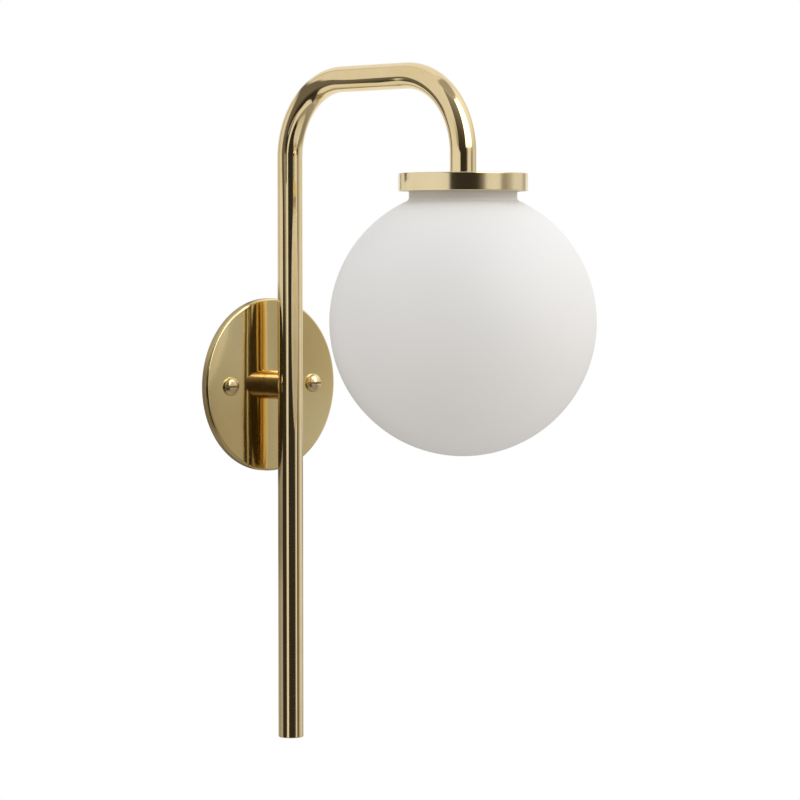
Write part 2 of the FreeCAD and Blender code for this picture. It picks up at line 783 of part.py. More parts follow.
def make_globe_glass():
    """A blown globe with a short neck that carries one turn of screw ridge."""
    body = new_node("globe_glass")
    fillet = size.neck_fillet
    neck_foot = -(size.gallery_depth + size.neck_length)
    across = size.neck_radius + fillet
    along = root((size.globe_radius + fillet) * (size.globe_radius + fillet) - across * across)
    centre = neck_foot - along
    inner = size.globe_radius - size.glass_wall
    outer_share = size.globe_radius / (size.globe_radius + fillet)
    inner_share = inner / (size.globe_radius + fillet)
    turned(body, [
        (neck_inside, lip_top),
        (neck_inside, neck_foot),
        Arc(across * inner_share, centre + along * inner_share, fillet + size.glass_wall, LEFT),
        Arc(0, centre - inner, inner, RIGHT),
        (0, centre - size.globe_radius),
        Arc(across * outer_share, centre + along * outer_share, size.globe_radius, LEFT),
        Arc(size.neck_radius, neck_foot, fillet, RIGHT),
        (size.neck_radius, lip_top),
    ])
    wound(body, "AdditiveHelix",
          thread_section(size.neck_radius - size.ridge_sink, size.neck_radius + size.ridge_height,
                         size.ridge_foot, size.ridge_tip, -size.ridge_start),
          size.globe_pitch, size.globe_pitch * size.ridge_turns)
    on_globe_axis(body)


# The lampholder


def make_holder_cap():
    """The upper half of the housing: a threaded entry, a domed shoulder and a spigot."""
    body = new_node("holder_cap")
    wall = size.holder_wall
    top = gallery_nut_foot - size.seat_gap
    spread = size.holder_radius - size.boss_radius
    fall = size.shoulder_foot - size.boss_foot
    bow = (spread * spread + fall * fall) / (spread * 2)
    spigot = size.holder_radius - wall - size.seat_gap
    inside = spigot - wall
    ceiling = -(size.boss_foot + wall)
    turned(body, [
        (tapped_radius, top),
        (size.boss_radius, top),
        (size.boss_radius, -size.boss_foot),
        Arc(size.holder_radius, -size.shoulder_foot, bow, RIGHT),
        (size.holder_radius, -size.holder_joint),
        (spigot, -size.holder_joint),
        (spigot, spigot_foot),
        (inside, spigot_foot),
        (inside, size.seat_gap - size.core_drop),
        (inside - size.core_lip, size.seat_gap - size.core_drop),
        (inside - size.core_lip, -size.shoulder_foot),
        (size.boss_radius, ceiling),
        (tapped_radius, ceiling),
    ])
    on_globe_axis(body)


def make_holder_skirt():
    """The lower half of the housing, which ends in the mouth for the lamp."""
    body = new_node("holder_skirt")
    outer = size.holder_radius
    inner = outer - size.holder_wall
    ledge = core_foot - size.seat_gap
    foot = -size.mouth_drop
    edge = size.mouth_round
    turned(body, [
        (inner, -size.holder_joint),
        (inner, ledge),
        (size.mouth_radius, ledge),
        (size.mouth_radius, foot),
        (outer - edge, foot),
        Arc(outer, foot + edge, edge, LEFT),
        (outer, -size.holder_joint),
    ])
    on_globe_axis(body)


def make_holder_core():
    """The ceramic disc that carries the terminals above and the contacts below."""
    body = new_node("holder_core")
    turned(body, box_section(size.core_hole, size.core_radius, core_foot, -size.core_drop))
    on_globe_axis(body)


def make_holder_terminals():
    """Two brass blocks, each with a wire hole from above and a screw hole from its outer side."""
    form = new_body("holder_terminal")
    middle = size.terminal_offset
    half = size.terminal_width / 2
    deep = size.terminal_depth / 2
    block = outline(form, "block", box_section(middle - half, middle + half, -deep, deep),
                    role="XY_Plane")
    raised(form, lift(block, -size.core_drop), size.terminal_height)
    top = size.terminal_height - size.core_drop
    wire = circles(form, "wire_hole", [(middle, 0, size.wire_radius + size.wire_bore_gap)])
    cut_to(form, lift(wire, top), size.terminal_bore)
    axis = size.terminal_height / 2 - size.core_drop
    thread = circles(form, "screw_hole", [(0, axis, size.terminal_screw + size.tapped_gap)],
                     role="YZ_Plane")
    depth = size.terminal_screw_in + size.seat_gap
    cut_to(form, lift(thread, middle + half - depth), depth, forward=True)
    on_globe_axis(form)
    pair_across("holder_terminals", form)


def make_terminal_screws():
    """A screw in the outer side of each terminal."""
    form = new_body("terminal_screw")
    face = size.terminal_offset + size.terminal_width / 2
    axis = size.terminal_height / 2 - size.core_drop
    shank = circles(form, "shank", [(0, axis, size.terminal_screw)], role="YZ_Plane")
    raised(form, lift(shank, face - size.terminal_screw_in), size.terminal_screw_in)
    head = circles(form, "head", [(0, axis, size.terminal_head)], role="YZ_Plane")
    raised(form, lift(head, face), size.terminal_head_height)
    on_globe_axis(form)
    pair_across("terminal_screws", form)


def make_centre_contact():
    """A sprung strip under the core that bows down to the lamp's contact."""
    body = new_node("centre_contact")
    thick = size.contact_thick
    top = core_foot
    low = lamp_top + size.seat_gap
    end = size.contact_reach
    bend = end - size.contact_flat
    tongue = size.contact_tongue
    strip = outline(body, "strip", [
        (-end, top), (-end, top - thick), (-bend, top - thick), (-tongue, low),
        (tongue, low), (bend, top - thick), (end, top - thick), (end, top),
        (bend, top), (tongue, low + thick), (-tongue, low + thick), (-bend, top),
    ])
    pad = raised(body, sketch=strip, length=size.contact_width)
    pad.Midplane = True
    on_globe_axis(body)


def make_screw_shell():
    """The holder's threaded shell, with the groove for the lamp's thread."""
    body = new_node("screw_shell")
    gap = size.lamp_thread_gap
    minor = size.lamp_thread_root + gap
    top = core_foot
    under = top - size.shell_top_thick
    foot = size.shell_top_thick - size.mouth_drop
    turned(body, [
        (size.shell_top_hole, top),
        (size.shell_top_hole, under),
        (minor, under),
        (minor, foot),
        (size.shell_radius, foot),
        (size.shell_radius, top),
    ])
    start = lamp_top - size.lamp_thread_start - size.lamp_pitch * 2
    grow = gap * 2
    wound(body, "SubtractiveHelix",
          thread_section(size.lamp_thread_root, size.lamp_thread_crest + gap,
                         size.lamp_thread_foot + grow, size.lamp_thread_tip + grow, start),
          size.lamp_pitch, size.lamp_pitch * (size.lamp_thread_turns + 2) + gap)
    on_globe_axis(body)


# The lamp


def make_lamp_cap():
    """The lamp's threaded brass cap, with a smooth collar round the glass."""
    body = new_node("lamp_cap")
    wall = size.lamp_shell_wall
    inner = size.lamp_thread_root - wall
    collar = lamp_top - size.lamp_collar_top
    step = size.lamp_collar_radius - size.lamp_thread_root
    foot = lamp_top - size.lamp_cap_length
    top = lamp_top - size.lamp_shell_top
    turned(body, [
        (inner, top),
        (size.lamp_thread_root, top),
        (size.lamp_thread_root, collar),
        (size.lamp_collar_radius, collar - step),
        (size.lamp_collar_radius, foot),
        (size.lamp_collar_radius - wall, foot),
        (size.lamp_collar_radius - wall, collar - step),
        (inner, collar),
    ])
    wound(body, "AdditiveHelix",
          thread_section(size.lamp_thread_root - wall / 2, size.lamp_thread_crest,
                         size.lamp_thread_foot, size.lamp_thread_tip,
                         lamp_top - size.lamp_thread_start),
          size.lamp_pitch, size.lamp_pitch * size.lamp_thread_turns)
    on_globe_axis(body)


def make_lamp_contact():
    """The solder button at the lamp's tip."""
    body = new_node("lamp_contact")
    turned(body, box_section(0, size.lamp_contact_radius,
                             lamp_top - size.lamp_contact_thick, lamp_top))
    on_globe_axis(body)


def make_lamp_insulator():
    """The dark glass cone between contact and cap."""
    body = new_node("lamp_insulator")
    top = lamp_top - size.lamp_contact_thick - size.seat_gap
    rim = lamp_top - size.lamp_shell_top
    plug = size.lamp_thread_root - size.lamp_shell_wall - size.braze_gap
    foot = rim - size.lamp_shell_top
    turned(body, [
        (0, top),
        (0, foot),
        (plug, foot),
        (plug, rim),
        (size.insulator_top, top),
    ])
    on_globe_axis(body)


def bulb_outline(shrink):
    """Corners from the bulb's foot up to its neck, on its outer face or that far inside it."""
    radius = size.lamp_radius - shrink
    neck = size.lamp_neck - shrink
    across = radius * cosine(size.lamp_taper)
    shoulder = bulb_centre + radius * sine(size.lamp_taper)
    slope = sine(size.lamp_taper) / cosine(size.lamp_taper)
    neck_foot = shoulder + (across - neck) / slope
    return radius, across, shoulder, neck, neck_foot


def make_lamp_envelope():
    """The lamp's frosted bulb, open at its neck."""
    body = new_node("lamp_envelope")
    top = lamp_top - size.lamp_cap_length + size.lamp_tuck
    radius, across, shoulder, neck, neck_foot = bulb_outline(size.lamp_glass * 0)
    within, across_in, shoulder_in, neck_in, neck_foot_in = bulb_outline(size.lamp_glass)
    turned(body, [
        (0, bulb_centre - radius),
        Arc(across, shoulder, radius, LEFT),
        (neck, neck_foot),
        (neck, top),
        (neck_in, top),
        (neck_in, neck_foot_in),
        (across_in, shoulder_in),
        Arc(0, bulb_centre - within, within, RIGHT),
    ])
    on_globe_axis(body)


def make_lamp_stem():
    """The glass rod inside the lamp, flared where it is sealed into the neck."""
    body = new_node("lamp_stem")
    top = lamp_top - size.lamp_cap_length + size.lamp_tuck
    flare = size.lamp_neck - size.lamp_glass - size.seat_gap
    flare_foot = lamp_top - size.lamp_cap_length - size.stem_foot_drop
    foot = lamp_top - size.crown_drop - size.filament_length - size.crown_thick * 2
    turned(body, [
        (0, top),
        (0, foot),
        (size.stem_radius, foot),
        (size.stem_radius, flare_foot),
        (flare, top - size.crown_thick),
        (flare, top),
    ])
    on_globe_axis(body)


def make_lamp_crowns():
    """Two thin metal discs on the rod, above and below the filaments."""
    body = new_node("lamp_crowns")
    hole = size.stem_radius + size.seat_gap
    upper = lamp_top - size.crown_drop
    disc = circles(body, "disc", [(0, 0, size.crown_radius), (0, 0, hole)])
    raised(body, lift(disc, upper - size.crown_thick), size.crown_thick)
    lower = upper - size.crown_thick * 2 - size.filament_length
    disc = circles(body, "lower_disc", [(0, 0, size.crown_radius), (0, 0, hole)])
    raised(body, lift(disc, lower), size.crown_thick)
    on_globe_axis(body)


def make_lamp_filaments():
    """Four glowing sticks between the two discs."""
    body = new_node("lamp_filaments")
    foot = lamp_top - size.crown_drop - size.crown_thick - size.filament_length
    stick = circles(body, "stick", [(size.filament_offset, 0, size.filament_radius)])
    rod = raised(body, lift(stick, foot), size.filament_length)
    repeated_round(body, [rod], FILAMENTS)
    on_globe_axis(body)


# The wires


def turn_between(before, corner, after):
    """How far a route turns at a corner, in radians."""
    return (corner - before).getAngle(after - corner)


def softened(corners, radii):
    """A wire along straight runs joined by tangent arcs of the given radii."""
    edges = []
    start = corners[0]
    for index in range(1, len(corners) - 1):
        before, corner, after = corners[index - 1:index + 2]
        turn = turn_between(before, corner, after)
        back = (before - corner).normalize()
        ahead = (after - corner).normalize()
        run = radii[index - 1] * math.tan(turn / 2)
        arc_start, arc_end = corner + back * run, corner + ahead * run
        inward = (back + ahead).normalize()
        deep = radii[index - 1] * (1 / math.cos(turn / 2) - 1)
        edges.append(Part.LineSegment(start, arc_start).toShape())
        edges.append(Part.Arc(arc_start, corner + inward * deep, arc_end).toShape())
        start = arc_end
    edges.append(Part.LineSegment(start, corners[-1]).toShape())
    return Part.Wire(edges)


def arc_share(before, corner, after):
    """The largest radius at a corner that leaves room for its neighbours."""
    shorter = min((corner - before).Length, (after - corner).Length)
    return ARC_SHARE * shorter / math.tan(turn_between(before, corner, after) / 2)


def make_wire(name, side):
    """One insulated wire from the wall through the nipple and the arm to its terminal."""
    x = side * number(size.wire_spread)
    far = side * number(size.terminal_offset)
    upright = -number(size.tube_offset)
    front = -number(globe_axis)
    crown = number(size.arm_rise)
    top = number(size.gallery_rise)
    nipple_foot = top - number(size.gallery_nipple_down)
    terminal_top = top - number(size.core_drop - size.terminal_height)
    end = terminal_top - number(size.terminal_bore - size.wire_end_gap)
    corners = [
        FreeCAD.Vector(x, 0, 0),
        FreeCAD.Vector(x, upright, 0),
        FreeCAD.Vector(x, upright, crown),
        FreeCAD.Vector(x, front, crown),
        FreeCAD.Vector(x, front, nipple_foot + number(size.wire_part_top)),
        FreeCAD.Vector(far, front, terminal_top + number(size.wire_part_foot)),
        FreeCAD.Vector(far, front, end),
    ]
    bend = number(size.bend_radius)
    parting = [arc_share(*corners[i - 1:i + 2]) for i in (4, 5)]
    route = softened(corners, [number(size.wire_turn), bend, bend] + parting)
    radius = number(size.wire_radius)
    rim = Part.makeCircle(radius, corners[0], corners[1] - corners[0])
    feature = doc.addObject("Part::Feature", name)
    feature.Shape = route.makePipeShell([Part.Wire([rim])], True, False)
    nodes.append(feature)
    expected = math.pi * radius ** 2 * route.Length
    print("%s: %.1f mm long, arcs %.1f and %.1f mm, volume %.4f of section times length" % (
        name, route.Length, min(parting), number(size.wire_turn), feature.Shape.Volume / expected))


def make_live_wire():
    make_wire("live_wire", 1)


def make_neutral_wire():
    make_wire("neutral_wire", -1)


CUTS = ("PartDesign::Pocket", "PartDesign::SubtractiveHelix")


def check_features():
    """Stop if a feature failed, if a piece is no solid or if a cut took nothing away."""
    for thing in doc.Objects:
        if "Invalid" in thing.State or "Error" in thing.State:
            raise RuntimeError("%s failed: %s" % (thing.Name, thing.State))
        if thing.TypeId in CUTS and thing.Shape.Volume >= thing.BaseFeature.Shape.Volume - 0.01:
            raise RuntimeError("%s cuts nothing" % thing.Name)
    for node in nodes:
        shape = node.Shape
        if shape.isNull() or not shape.isValid() or not shape.Solids:
            raise RuntimeError("%s is not a valid solid" % node.Label)


def main():
    make_backplate()
    make_mounting_strap()
    make_face_screws()
    make_earth_screw()
    make_earth_washer()
    make_wall_nipple()
    make_wall_locknut()
    make_wall_lock_washer()
    make_wire_bushing()
    make_standoff()
    make_arm_tube()
    make_arm_end_cap()
    make_arm_insert()
    make_gallery_cap()
    make_gallery_nipple()
    make_gallery_washer()
    make_gallery_locknut()
    make_globe_ring()
    make_globe_gasket()
    make_globe_glass()
    make_holder_cap()
    make_holder_skirt()
    make_holder_core()
    make_holder_terminals()
    make_terminal_screws()
    make_centre_contact()
    make_screw_shell()
    make_lamp_cap()
    make_lamp_contact()
    make_lamp_insulator()
    make_lamp_envelope()
    make_lamp_stem()
    make_lamp_crowns()
    make_lamp_filaments()
    make_live_wire()
    make_neutral_wire()
    doc.recompute()
    check_features()
    os.makedirs("parts", exist_ok=True)
    for node in nodes:
        node.Shape.exportStep("parts/%s.step" % node.Label)
        print("%-18s %d solids, %9.1f mm3" % (
            node.Label, len(node.Shape.Solids), node.Shape.Volume))


main()
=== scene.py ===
"""A globe wall sconce, dressed for the studio: polished brass arm, spun plate, satin opal globe.

All lengths are in metres. X points right, Y into the wall and Z up, from the centre of the wall
plate's back. A piece on the plate's axis is drawn with its height measured out from the wall, and
one on the globe's axis with its height measured up from the same origin. A range that something is
eased over gives the value at which the result is 0, and then the value at which it is 1.
"""
import json
import logging
import math
from dataclasses import dataclass
from enum import Enum
from typing import Any, Callable, Iterable

import bmesh
import bpy
import numpy as np
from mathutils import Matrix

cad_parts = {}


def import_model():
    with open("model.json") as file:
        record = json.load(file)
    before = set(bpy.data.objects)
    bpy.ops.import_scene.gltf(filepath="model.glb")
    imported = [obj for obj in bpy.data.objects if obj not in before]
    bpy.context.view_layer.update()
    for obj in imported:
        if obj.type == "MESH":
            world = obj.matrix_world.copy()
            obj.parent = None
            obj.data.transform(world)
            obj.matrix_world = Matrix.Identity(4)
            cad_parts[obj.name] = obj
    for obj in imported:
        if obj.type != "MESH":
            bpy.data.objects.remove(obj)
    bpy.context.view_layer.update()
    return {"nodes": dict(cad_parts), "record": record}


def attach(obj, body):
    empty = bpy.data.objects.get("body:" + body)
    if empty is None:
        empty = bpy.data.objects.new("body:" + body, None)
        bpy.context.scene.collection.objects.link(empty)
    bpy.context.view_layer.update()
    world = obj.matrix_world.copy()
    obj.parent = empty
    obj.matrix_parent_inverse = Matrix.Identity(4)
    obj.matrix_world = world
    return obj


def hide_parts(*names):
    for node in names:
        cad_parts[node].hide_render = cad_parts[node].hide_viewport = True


LOG = logging.getLogger("sconce")
Inputs = dict[Any, Any] | None
Material = bpy.types.Material
Array = np.ndarray
Pair = tuple[float, float]
Triple = tuple[float, float, float]

FULL_TURN = 2.0 * math.pi
HALF_TURN = 180.0
DEGREES = HALF_TURN / math.pi

# Detail and roughness of two kinds of noise, and the middle value of any
CLOUD_NOISE = (4.0, 0.6)
SPOT_NOISE = (2.0, 0.6)
NOISE_MEAN = 0.5
GLASS_INDEX = 1.5
WHITE = (1.0, 1.0, 1.0)
# Powers of the room's level that its green and blue fall by
GREEN_POWER, BLUE_POWER = 0.05, 0.11

# Sizes that several pieces share
PLATE_FACE = 0.0065
NIPPLE_HOLE = 0.00505
TUBE_OFFSET = 0.0275
GALLERY_TOP = 0.1650
GLOBE_Y = -0.2175


class Grain(Enum):
    """How a brass surface was worked: its fine marks per metre, along three lines.

    The lines are round and along the tube for drawn brass, outwards, across and up for spun
    brass, and the object's axes for the others.
    """

    DRAWN = (5200.0, 60.0, 1.0)
    SPUN = (3800.0, 40.0, 40.0)
    BRUSHED = (60.0, 60.0, 5200.0)
    MACHINED = (2600.0, 2600.0, 2600.0)


class Facing(Enum):
    """The axis that a turned piece is drawn round."""

    OUT_OF_WALL = "wall"
    UPRIGHT = "globe"


# Shader graphs


def math_method(operation: str, flipped: bool = False) -> Callable[..., "Signal"]:
    """Makes a method that adds one Math node.

    Args:
        operation: the node's operation.
        flipped: whether the other terms come before the signal itself.

    Returns:
        A method from the other terms, numbers or signals, to the node's value.
    """

    def method(self: "Signal", *others: Any) -> "Signal":
        """Adds the node."""
        terms = (*others, self) if flipped else (self, *others)
        return self.graph.make("Math", dict(enumerate(terms)), operation=operation)

    return method


@dataclass(eq=False)
class Signal:
    """An output socket of a graph that takes part in arithmetic: each operator adds a node."""

    graph: "Graph"
    socket: bpy.types.NodeSocket

    __add__, __radd__ = math_method("ADD"), math_method("ADD", flipped=True)
    __sub__, __rsub__ = math_method("SUBTRACT"), math_method("SUBTRACT", flipped=True)
    __mul__, __rmul__ = math_method("MULTIPLY"), math_method("MULTIPLY", flipped=True)
    __truediv__, __rtruediv__ = math_method("DIVIDE"), math_method("DIVIDE", flipped=True)
    __pow__, __rpow__ = math_method("POWER"), math_method("POWER", flipped=True)
    __abs__, greater, lesser = map(math_method, ("ABSOLUTE", "MAXIMUM", "MINIMUM"))
    arcsine, arctan2, wrapped = map(math_method, ("ARCSINE", "ARCTAN2", "WRAP"))

    def eased(self, low: float, high: float) -> "Signal":
        """0 at low, 1 at high, with an S-shaped rise between; low may be the larger."""
        rise = self.graph.make(
            "MapRange", {"Value": self, "From Min": min(low, high), "From Max": max(low, high)},
            interpolation_type="SMOOTHSTEP")
        return 1.0 - rise if low > high else rise


class Graph:
    """The nodes of one material or world."""

    def __init__(self, owner: Material | bpy.types.World) -> None:
        """Args: owner: a new material or world, whose nodes are cleared."""
        owner.use_nodes = True
        self.owner, self.tree = owner, owner.node_tree
        self.tree.nodes.clear()

    def node(self, kind: str, inputs: Inputs = None, **settings: Any) -> bpy.types.Node:
        """Adds a node.

        Args:
            kind: the node's type.
            inputs: values or signals for its inputs, by name or place.
            settings: its properties, set first.

        Returns:
            The node.
        """
        node = self.tree.nodes.new("ShaderNode" + kind)
        for name, value in settings.items():
            setattr(node, name, value)
        for name, value in (inputs or {}).items():
            if isinstance(value, Signal):
                self.tree.links.new(value.socket, node.inputs[name])
            else:
                node.inputs[name].default_value = value
        return node

    def make(self, kind: str, inputs: Inputs = None, output: Any = 0, **settings: Any) -> Signal:
        """Adds a node and wraps one of its outputs, by name or place."""
        return Signal(self, self.node(kind, inputs, **settings).outputs[output])

    def blend(self, share: Any, first: Any, second: Any) -> Signal:
        """Mixes two colours: the first where share is 0, the second where it is 1."""
        first, second = (colour if isinstance(colour, Signal) else (*colour, 1.0)
                         for colour in (first, second))
        return self.make("Mix", {0: share, 6: first, 7: second}, 2, data_type="RGBA")

    def parts(self, vector: Signal) -> tuple[Signal, Signal, Signal]:
        """Splits a vector into its three numbers."""
        split = self.node("SeparateXYZ", {0: vector})
        return tuple(Signal(self, split.outputs[n]) for n in range(3))

    def joined(self, x: Any, y: Any, z: Any) -> Signal:
        """Joins three numbers into a vector."""
        return self.make("CombineXYZ", {0: x, 1: y, 2: z})

    def place(self, output: str = "Object") -> Signal:
        """The shaded point in the object's own coordinates, or in its UV map."""
        return self.make("TexCoord", output=output)

    def noise(self, vector: Signal, scale: float | Triple, detail: float = 3.0,
              rough: float = 0.5) -> Signal:
        """Smooth noise from 0 to 1, with a number of features per metre, or one for each axis."""
        if isinstance(scale, tuple):
            vector = self.make("Mapping", {"Vector": vector, "Scale": scale})
            scale = 1.0
        return self.make("TexNoise", {"Vector": vector, "Scale": scale, "Detail": detail,
                                      "Roughness": rough})

    def relief(self, height: Signal) -> Signal:
        """Turns a height in metres into a normal."""
        return self.make("Bump", {"Strength": 1.0, "Distance": 1.0, "Height": height})

    def surface(self, inputs: Inputs) -> Material:
        """Ends the graph in one surface shader and gives its material."""
        self.node("OutputMaterial", {"Surface": self.make("BsdfPrincipled", inputs)})
        return self.owner

    def cover(self, share: Signal, shader: Signal) -> Material:
        """Ends the graph in a shader that covers by that share, and is clear for the rest."""
        clear = self.make("BsdfTransparent")
        mixed = self.make("MixShader", {0: share, 1: clear, 2: shader})
        self.node("OutputMaterial", {"Surface": mixed})
        return self.owner

    def front(self) -> Signal:
        """1 on a face's front and 0 on its back."""
        return 1.0 - self.make("NewGeometry", output="Backfacing")

    def warmed(self, level: Signal) -> Signal:
        """The colour of a level of the room: white at 1, and browner the darker it is."""
        dim = level.lesser(1.0)
        return self.joined(level, level * dim ** GREEN_POWER, level * dim ** BLUE_POWER)

    def glow_in_front(self, level: Signal) -> Material:
        """Ends the graph in a glow of that level on the face's front, and nothing on its back."""
        glow = self.make("Emission", {"Color": self.warmed(level), "Strength": 1.0})
        return self.cover(self.front(), glow)


# Finishes


@dataclass(frozen=True)
class Brass:
    """Bare brass: a gold metal with faint tarnishing, fine working marks and slow waves.

    Clouds and spots are counted per metre. The share of the darker tone from tarnishing is the sum
    of the clouds, the spots and the marks, each times its share; spun brass adds a painted sheen.
    """

    name: str
    grain: Grain
    polish: float
    polish_spread: float = 0.02
    clean_tone_and_painted_light: Triple = (0.91, 0.73, 0.385)
    tarnished_tone_and_painted_shade: Triple = (0.86, 0.66, 0.31)
    mark_depth: float = 2.0e-7
    wave_height: float = 3.0e-6
    wave_length: float = 0.040
    stretch: float = 0.0
    clouds: float = 55.0
    cloud_range: Pair = (0.35, 0.75)
    spots: float = 900.0
    spot_range: Pair = (0.66, 0.80)
    shares: Triple = (0.7, 0.25, 0.15)

    def marks(self, graph: Graph) -> Signal:
        """Fine working marks from 0 to 1, drawn out along the way the surface was worked."""
        here = graph.place("UV" if self.grain is Grain.DRAWN else "Object")
        if self.grain is Grain.SPUN:
            x, _, z = graph.parts(here)
            here = graph.joined((x * x + z * z) ** 0.5, x, z)
        return graph.noise(here, self.grain.value)

    def tarnish_and_painted_sheen(self, graph: Graph, cloud: Signal, marks: Signal) -> Signal:
        """Share of the darker tone from tarnishing: clouds, small spots and marks."""
        spots = graph.noise(graph.place(), self.spots, *SPOT_NOISE).eased(*self.spot_range)
        by_cloud, by_spots, by_marks = self.shares
        return (cloud.eased(*self.cloud_range) * by_cloud + spots * by_spots
                + marks * by_marks).lesser(1.0)

    def colour(self, graph: Graph, tarnish_and_painted_sheen: Signal) -> Signal:
        """The metal's colour at that share of its darker tone: tarnishing and any painted sheen.
        """
        return graph.blend(tarnish_and_painted_sheen, self.clean_tone_and_painted_light, self.tarnished_tone_and_painted_shade)

    def material(self) -> Material:
        """Builds the material.

        Returns:
            A metal whose colour drifts towards its darker tone by tarnishing and any painted
            sheen, whose roughness follows the clouds and the marks, and whose relief adds the
            marks to slow waves.
        """
        graph = Graph(bpy.data.materials.new(self.name))
        here = graph.place()
        cloud = graph.noise(here, self.clouds, *CLOUD_NOISE)
        marks = self.marks(graph)
        waves = graph.noise(here, 1.0 / self.wave_length, 1.0)
        spread = self.polish_spread
        return graph.surface({
            "Base Color": self.colour(graph, self.tarnish_and_painted_sheen(graph, cloud, marks)),
            "Metallic": 1.0,
            "Roughness": (self.polish + spread * (cloud - NOISE_MEAN)
                          + spread * (marks - NOISE_MEAN)),
            "Anisotropic": self.stretch,
            "Normal": graph.relief(marks * self.mark_depth + waves * self.wave_height),
        })


@dataclass(frozen=True)
class SpunBrass(Brass):
    """Brass spun on a lathe, with a painted sheen: lighter along one diagonal, darker across it.
    """

    # Painted sheen: the middle share of the darker tone, and how far the diagonal streak moves it
    painted_shade_middle: float = 0.44
    diagonal: float = 0.42
    drift: float = 0.18
    soft_middle: float = 1.0e-4

    def tarnish_and_painted_sheen(self, graph: Graph, cloud: Signal, marks: Signal) -> Signal:
        """Painted sheen: the darker tone's share falls by the share diagonal towards the upper
        left and the lower right, standing in for the shine of the spun rings.

        streak = -2 x z / (x^2 + z^2), which is 1 on that diagonal and -1 across it.
        """
        # Painted highlight along one diagonal and painted shade along the other
        x, _, z = graph.parts(graph.place())
        streak = -2.0 * x * z / (x * x + z * z + self.soft_middle)
        drift = self.drift * super().tarnish_and_painted_sheen(graph, cloud, marks)
        return (self.painted_shade_middle - self.diagonal * streak + drift).lesser(1.0).greater(0.0)


@dataclass(frozen=True)
class SlottedBrass(Brass):
    """Brass of a screw head, with brown painted shade in its level slot: near the middle line,
    and deep enough.
    """

    # Painted shade: the brown of the slot's recess
    painted_slot_shade: Triple = (0.40, 0.26, 0.09)
    slot_half: Pair = (0.00081, 0.00075)
    slot_height: Pair = (0.0082, 0.0083)

    def colour(self, graph: Graph, tarnish_and_painted_sheen: Signal) -> Signal:
        """The metal's colour, and the painted shade between the slot's walls."""
        _, y, z = graph.parts(graph.place())
        # Painted shade where the slot is sunk
        inside = abs(z).eased(*self.slot_half) * (-1.0 * y).eased(*self.slot_height)
        return graph.blend(inside, super().colour(graph, tarnish_and_painted_sheen), self.painted_slot_shade)


@dataclass(frozen=True)
class Opal:
    """Blown opal glass with an acid-etched, satin outside."""

    name: str = "satin_opal_glass"
    milk: Triple = (0.93, 0.93, 0.93)
    thin: Triple = (0.915, 0.918, 0.92)
    # Painted shadow: the neck's colour just under the gallery's rim
    neck: Triple = (0.66, 0.645, 0.61)
    neck_shadow_heights: Pair = (0.1442, 0.1470)
    satin: float = 0.46
    satin_spread: float = 0.05
    gloss: float = 0.3
    clouds: float = 14.0
    cloud_range: Pair = (0.3, 0.8)
    etch: float = 2200.0
    etch_depth: float = 2.0e-6

    def material(self) -> Material:
        """Builds the material.

        Returns:
            Milk white with a hardly visible cloud and a fine etched grain, and a painted shadow on
            the neck just under the gallery's rim.
        """
        graph = Graph(bpy.data.materials.new(self.name))
        here = graph.place()
        cloud = graph.noise(here, self.clouds)
        milk = graph.blend(cloud.eased(*self.cloud_range), self.milk, self.thin)
        # Painted shadow, eased in up the neck
        neck = graph.parts(here)[2].eased(*self.neck_shadow_heights)
        return graph.surface({
            "Base Color": graph.blend(neck, milk, self.neck),
            "Roughness": self.satin + self.satin_spread * (cloud - NOISE_MEAN),
            "IOR": GLASS_INDEX,
            "Specular IOR Level": self.gloss,
            "Normal": graph.relief(graph.noise(here, self.etch, 2.0) * self.etch_depth),
        })


@dataclass(frozen=True)
class Coat:
    """A plated, painted, moulded or fired surface: a colour, its drift, and a grain."""

    name: str
    colour: Triple
    drift: Triple
    rough: float
    metal: float = 0.0
    coat: float = 0.0
    rough_spread: float = 0.10
    grain_size: float = 0.0006
    grain_depth: float = 4.0e-6
    clouds: float = 160.0
    cloud_range: Pair = (0.3, 0.7)
    shares: Pair = (0.75, 0.25)

    def material(self) -> Material:
        """Builds the material: the colour drifts with the clouds and the grain, over a relief."""
        graph = Graph(bpy.data.materials.new(self.name))
        here = graph.place()
        cloud = graph.noise(here, self.clouds, *CLOUD_NOISE).eased(*self.cloud_range)
        grain = graph.noise(here, 1.0 / self.grain_size)
        share = (cloud * self.shares[0] + grain * self.shares[1]).lesser(1.0)
        return graph.surface({
            "Base Color": graph.blend(share, self.colour, self.drift),
            "Metallic": self.metal,
            "Roughness": self.rough + self.rough_spread * (grain - NOISE_MEAN),
            "Coat Weight": self.coat,
            "Normal": graph.relief(grain * self.grain_depth),
        })


@dataclass(frozen=True)
class LampGlass:
    """Thin glass of the lamp, clear or frosted, with faint blowing streaks."""

    name: str
    tint: Triple
    frost: float
    frost_spread: float = 0.08
    clearness: float = 0.9
    streaks: Triple = (120.0, 120.0, 25.0)
    streak_range: Pair = (0.3, 0.8)
    streak_tone: float = 0.97
    streak_depth: float = 6.0e-6

    def material(self) -> Material:
        """Builds the material: light passes straight through, and streaks vary its gloss."""
        graph = Graph(bpy.data.materials.new(self.name))
        streak = graph.noise(graph.place(), self.streaks)
        return graph.surface({
            "Base Color": graph.blend(streak.eased(*self.streak_range), self.tint,
                                      tuple(tone * self.streak_tone for tone in self.tint)),
            "Roughness": self.frost + self.frost_spread * streak,
            "IOR": GLASS_INDEX,
            "Transmission Weight": self.clearness,
            "Normal": graph.relief(streak * self.streak_depth),
        })


